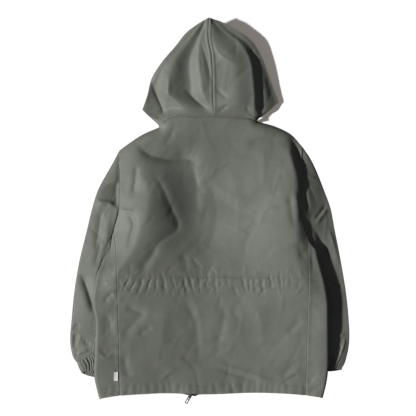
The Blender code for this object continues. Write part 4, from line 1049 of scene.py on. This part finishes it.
def dome_height(side, points, seam, rim):
    """The height of every point of a hood half: the dome above the neck seam, a plain fold below it."""
    x, y, flat_z = points.reshape(-1, 3).T
    seam, edge = seam[::-1], line(rim[:HOOD_CORNER + 1], 120)[::-1]
    at_seam, at_edge = ([np.interp(y, run[:, 1], run[:, k]) for k in (0, 2)] for run in (seam, edge))
    between = ("crease", "bulge", "valley", "ridge") if side == LEFT else ("peak", "brow", "foot")
    knots = [[read(DOME["y"], DOME[f"{name}_{axis}"], y) for axis in "xz"] for name in between]
    knots = [at_edge, *knots, at_seam] if side == LEFT else [at_seam, *knots, at_edge]
    z = knots[0][1]
    for (ax, az), (bx, bz) in zip(knots, knots[1:]):
        run = np.maximum(bx - ax, 4.0)
        z = z + (bz - az) * eased((x - ax) / run)
    neck_y = np.interp(x, *zip(*NECK_BACK))
    weight = eased((y - neck_y - DOME_FROM) / DOME_REACH)
    from_seam = np.abs(x - at_seam[0])
    room = np.minimum(np.abs(x - at_edge[0]), from_seam + 12)
    band = SEAM_BAND * (eased((9 - from_seam) / 3) - eased((2 - from_seam) / 2))
    z = z + relief(HOOD_FOLDS + HOOD_CRUMPLES, x, y) * eased(room / 9) + band
    return (flat_z * (1 - weight) + z * weight).reshape(points.shape[:2])


hood_left = hood_half(LEFT, "hood_of_left", "hood_left")
hood_right = hood_half(RIGHT, "hood_of_right", "hood_right")


# ---- Zip ----
# A two-way zip down the front: cotton tapes sewn behind the fronts' edges, with metal teeth pinched on
# their cords. It lies on the surface beneath the jacket, and only its foot shows past the hem.

TEETH_PITCH = 2.6
TOOTH = dict(half=(1.6, 0.6), height=3.0, inward=1.5, lift=1.1)


def plain(name, colour, roughness, metallic=0.0, **constant):
    material, _, shader = surface(name, roughness, Metallic=metallic, **constant)
    shader.inputs["Base Color"].default_value = linear(colour)
    return material


def ribbed(name, colour, roughness, pitch, across, relief, distortion=0.0):
    """A narrow woven ware: fine ribs of one pitch in mm, their relief a bump's (strength, distance)."""
    material, tree, shader = surface(name, roughness, Base_Color=linear(colour))
    place = tree.nodes.new("ShaderNodeTexCoord")
    ribs = node(tree, "ShaderNodeTexWave", {"bands_direction": across}, Vector=place.outputs["Object"],
                Scale=1000 / pitch / 20, Distortion=distortion)
    bump = node(tree, "ShaderNodeBump", Strength=relief[0], Distance=relief[1], Height=ribs.outputs["Fac"])
    tree.links.new(bump.outputs[0], shader.inputs["Normal"])
    return material


# Twill tape: matt and dark, with fine ribs along it.
tape = ribbed("cotton zip tape", "2f3128", 0.85, 1.2, "X", (0.4, 0.0002), 1.0)
for name in ("zip_tape_left", "zip_tape_right"):
    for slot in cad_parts[name].material_slots:
        slot.material = tape

# Worn nickel plate over brass: a dull grey with a soft gleam on its edges.
zip_metal = plain("aged nickel on brass", "8f8d84", 0.36, 0.9)


def teeth(side, name):
    """One row of teeth in one mesh: each a tapered block, half a pitch out of step with the other row."""
    ys = np.arange(-470, 112, TEETH_PITCH) + (TEETH_PITCH / 2 if side == RIGHT else 0)
    xs = zip_x(ys)
    block = np.array([(-1, -1, 0), (1, -1, 0), (1, 1, 0), (-1, 1, 0),
                      (-0.8, -0.8, 1), (0.8, -0.8, 1), (0.8, 0.8, 1), (-0.8, 0.8, 1)])
    half_x, half_y = TOOTH["half"]
    block = block * (side * half_x, half_y, TOOTH["height"]) + (side * TOOTH["inward"], 0, TOOTH["lift"])
    sides = [(0, 3, 2, 1), (4, 5, 6, 7), (0, 1, 5, 4), (1, 2, 6, 5), (2, 3, 7, 6), (3, 0, 4, 7)]
    places = np.column_stack([xs, ys, front_height(xs, ys)])
    corners = (places[:, None] + block).reshape(-1, 3)
    faces = [tuple(start + c for c in face) for start in range(0, len(corners), 8) for face in sides]
    row = placed(name, (corners - MIDDLE) * MM, faces, zip_metal)
    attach(row, "jacket")


teeth(LEFT, "zip_teeth_left")
teeth(RIGHT, "zip_teeth_right")


# ---- Sliders and pull tabs ----
# Die-cast sliders: two plates and a post, with an arch that holds the pull tab. The tabs are stamped, with
# an eye at one end and a long slot. The top tab lies beneath the jacket, the bottom one shows past the hem.

for name, body, round_off in (("slider_top", "jacket", 0.35), ("slider_bottom", "jacket", 0.35),
                              ("pull_tab_top", "tab_top", 0.4), ("pull_tab_bottom", "tab_bottom", 0.4)):
    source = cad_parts[name]
    piece = source.copy()
    piece.data = source.data.copy()
    piece.name = name + "_cast"
    bpy.context.scene.collection.objects.link(piece)
    piece.parent = None
    piece.matrix_world = source.matrix_world.copy()
    bpy.context.view_layer.objects.active = piece
    piece.select_set(True)
    bpy.ops.object.transform_apply(location=True, rotation=True, scale=True)
    piece.select_set(False)
    applied(piece, "weld", "WELD", merge_threshold=0.00002)
    applied(piece, "rounded edges", "BEVEL", width=round_off * MM, segments=2, limit_method="ANGLE")
    smoothed(piece, 40)
    piece.data.materials.clear()
    piece.data.materials.append(zip_metal)
    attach(piece, body)
    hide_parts(name)


# ---- Label ----
# A small blank label of woven polyester, folded and caught in the left side-back seam just above the hem.

LABEL_X, LABEL_Y = (-259.5, -249.0), (-457.5, -433.5)
LABEL_MIDDLE, LABEL_HALF = (-254, -445), 5.2
LABEL_LEAN = 0.02     # it turns a little with the seam
LABEL_LIFT, LABEL_CURL = 1.5, 0.35   # how far it stands off the cloth, and its edges more than that
LABEL_WALL = 0.6

# Woven polyester: plain white and slightly smooth, with fine threads across it.
label_weave = ribbed("blank woven label", "eeeeea", 0.7, 0.6, "Y", (0.3, 0.0001))

across, along = np.meshgrid(np.linspace(*LABEL_X, 9), np.linspace(*LABEL_Y, 17))
flat = np.column_stack([across.ravel() + LABEL_LEAN * (along.ravel() - LABEL_MIDDLE[1]), along.ravel()])
lying = cloth_point(LEFT, cloth_distance(LEFT, *flat.T, 1), flat[:, 1])
lying[:, 2] += LABEL_LIFT + LABEL_CURL * ((flat[:, 0] - LABEL_MIDDLE[0]) / LABEL_HALF) ** 2
label = placed("label", (lying - MIDDLE) * MM, grid_faces(17, 9), label_weave)
applied(label, "two layers", "SOLIDIFY", thickness=LABEL_WALL * MM, offset=-1)
smoothed(label, 40)
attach(label, "jacket")
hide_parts("side_label")


# ---- Stitching ----
# Lockstitch in thread of the cloth's colour, three stitches to the centimetre: a row on either side of the
# hood's seam, two at the waist's tunnel, and one beside each other seam, above the hem and round the face.

STITCH, STITCH_GAP, THREAD_WIDTH = 2.3, 0.8, 0.32
# Spun polyester: the cloth's own green, matt, with a fine nap that catches the light.
thread_material = plain("core-spun sewing thread", "7f8374", 0.6, Sheen_Weight=0.3)


def cast(pieces):
    """A surface to drop points onto: the upper faces of finished pieces."""
    corners, faces = [], []
    for piece in pieces:
        faces += [[len(corners) + c for c in p.vertices] for p in piece.data.polygons]
        corners += [v.co.copy() for v in piece.data.vertices]
    return BVHTree.FromPolygons(corners, faces)


def stitch_row(onto, path, stitches):
    """Adds the stitches of one row: short prisms that follow the cloth under a line of (x, y)."""
    run = spaced(np.asarray(path, float), (STITCH + STITCH_GAP) / 2)
    for start, end in zip(run[:-1:2], run[1::2]):
        ends = []
        for x, y in (start, (start + end) / 2, end):
            above = Vector(((x - MIDDLE[0]) * MM, (y - MIDDLE[1]) * MM, 0.2))
            hit = onto.ray_cast(above, Vector((0, 0, -1)))
            if hit[0] is None:
                break
            ends.append((hit[0], hit[1]))
        # A stitch that would bridge a step in the cloth is left out.
        if len(ends) == 3 and abs(ends[0][0].z - ends[2][0].z) < 0.004:
            stitches.append(ends)


def stitching(name, stitches):
    """All stitches of one part in one mesh: each dips into the cloth at its ends and bows up between them."""
    corners, faces = [], []
    for ends in stitches:
        way = (ends[2][0] - ends[0][0]).normalized()
        start = len(corners)
        for (at, up), lift in zip(ends, (-0.1, 0.28, -0.1)):
            side = up.cross(way).normalized() * THREAD_WIDTH * MM
            top = at + up * (lift + THREAD_WIDTH) * MM
            corners += [at + up * lift * MM - side, top, at + up * lift * MM + side]
        for a in (start, start + 3):
            faces += [(a, a + 1, a + 4, a + 3), (a + 1, a + 2, a + 5, a + 4), (a + 2, a, a + 3, a + 5)]
        faces += [(start, start + 2, start + 1), (start + 6, start + 7, start + 8)]
    rows = placed(name, [tuple(c) for c in corners], faces, thread_material)
    rows.data.shade_smooth()
    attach(rows, "jacket")


body_top = cast([back, front_left, front_right])
body_stitches = []
x = np.linspace(-308, 312, 240)
for row in ("upper", "lower"):
    stitch_row(body_top, np.column_stack([x, waist_row(row, x)]), body_stitches)
x = np.linspace(-296, 300, 240)
stitch_row(body_top, np.column_stack([x, hem_y(x) + HEM_TUNNEL]), body_stitches)
for side in (LEFT, RIGHT):
    stitch_row(body_top, beside(SEAM_LINE[side], side * (FELL_WIDTH - 1)), body_stitches)
    stitch_row(body_top, beside(line(ARMHOLE_BACK[side], 60), -side * 1.8), body_stitches)
    stitch_row(body_top, beside(SHOULDER_SEAM[side], -side * 1.8), body_stitches)
stitch_row(body_top, beside(line(NECK_BACK, 90), -3.0), body_stitches)
stitching("stitching_of_body", body_stitches)

hood_top = cast([hood_left, hood_right])
hood_stitches = []
centre = line(HOOD_SEAM["points"], 80)
for off in (-3.2, 3.2):
    stitch_row(hood_top, beside(centre, off), hood_stitches)
for side in (LEFT, RIGHT):
    rim = line(HOOD_RIM[side]["points"][:HOOD_CORNER + 1], 120)
    stitch_row(hood_top, beside(rim, side * -8.0), hood_stitches)
stitching("stitching_of_hood", hood_stitches)

sleeve_stitches = []
for side, arm, wrist, v in ((LEFT, sleeve_left, wrist_left, round_left),
                            (RIGHT, sleeve_right, wrist_right, round_right)):
    upper = spaced(wrist[(v > 0.06) & (v < 0.44)][:, :2], 2.0)
    stitch_row(cast([arm]), beside(upper, side * -4.0), sleeve_stitches)
stitching("stitching_of_sleeves", sleeve_stitches)


# ---- Surroundings ----
# The jacket is lit hard from the wearer's left and a little below, with a weak fill, as for a cut-out
# picture: the floor comes out pure white, with the hood's shadow as the only one that is kept on it.

floor_material, tree, shader = surface("white floor", 0.9, Base_Color=linear("ffffff"),
                                       Emission_Color=linear("ffeede"), Emission_Strength=0.15)
bpy.ops.mesh.primitive_plane_add(size=6)
floor = bpy.context.active_object
floor.name = "floor"
floor.data.materials.append(floor_material)
floor.visible_diffuse = floor.visible_glossy = False

KEY_AZIMUTH, KEY_ELEVATION, KEY_WIDTH = 187, 36, 4


def sun(name, energy, receivers, blockers=None):
    """The key light for the things named, with only the named things throwing shadows."""
    lamp = bpy.data.lights.new(name, "SUN")
    lamp.energy, lamp.angle = energy, math.radians(KEY_WIDTH)
    thing = bpy.data.objects.new(name, lamp)
    thing.rotation_euler = (0, math.radians(90 - KEY_ELEVATION), math.radians(KEY_AZIMUTH))
    bpy.context.scene.collection.objects.link(thing)
    for kind, members in (("receiver", receivers), ("blocker", blockers)):
        if members is not None:
            group = bpy.data.collections.new(f"{name} {kind}s")
            for member in members:
                group.objects.link(member)
            setattr(thing.light_linking, f"{kind}_collection", group)
    return thing


jacket = [thing for thing in bpy.context.scene.objects if thing.type == "MESH" and thing is not floor]
key = sun("key", 3.55, jacket)
floor_key = sun("key_of_floor", 4.6, [floor], [hood_left, hood_right])

world = bpy.data.worlds.new("studio")
bpy.context.scene.world = world
world.use_nodes = True
world.node_tree.nodes["Background"].inputs["Color"].default_value = linear("f4f6ff")
world.node_tree.nodes["Background"].inputs["Strength"].default_value = 0.08

lens = bpy.data.cameras.new("camera")
lens.lens, lens.sensor_width = 85, 36
camera = bpy.data.objects.new("camera", lens)
camera.location = (-0.00505, 0.01255, 2.68)
bpy.context.scene.collection.objects.link(camera)
bpy.context.scene.camera = camera
bpy.context.scene.view_settings.view_transform = "Standard"
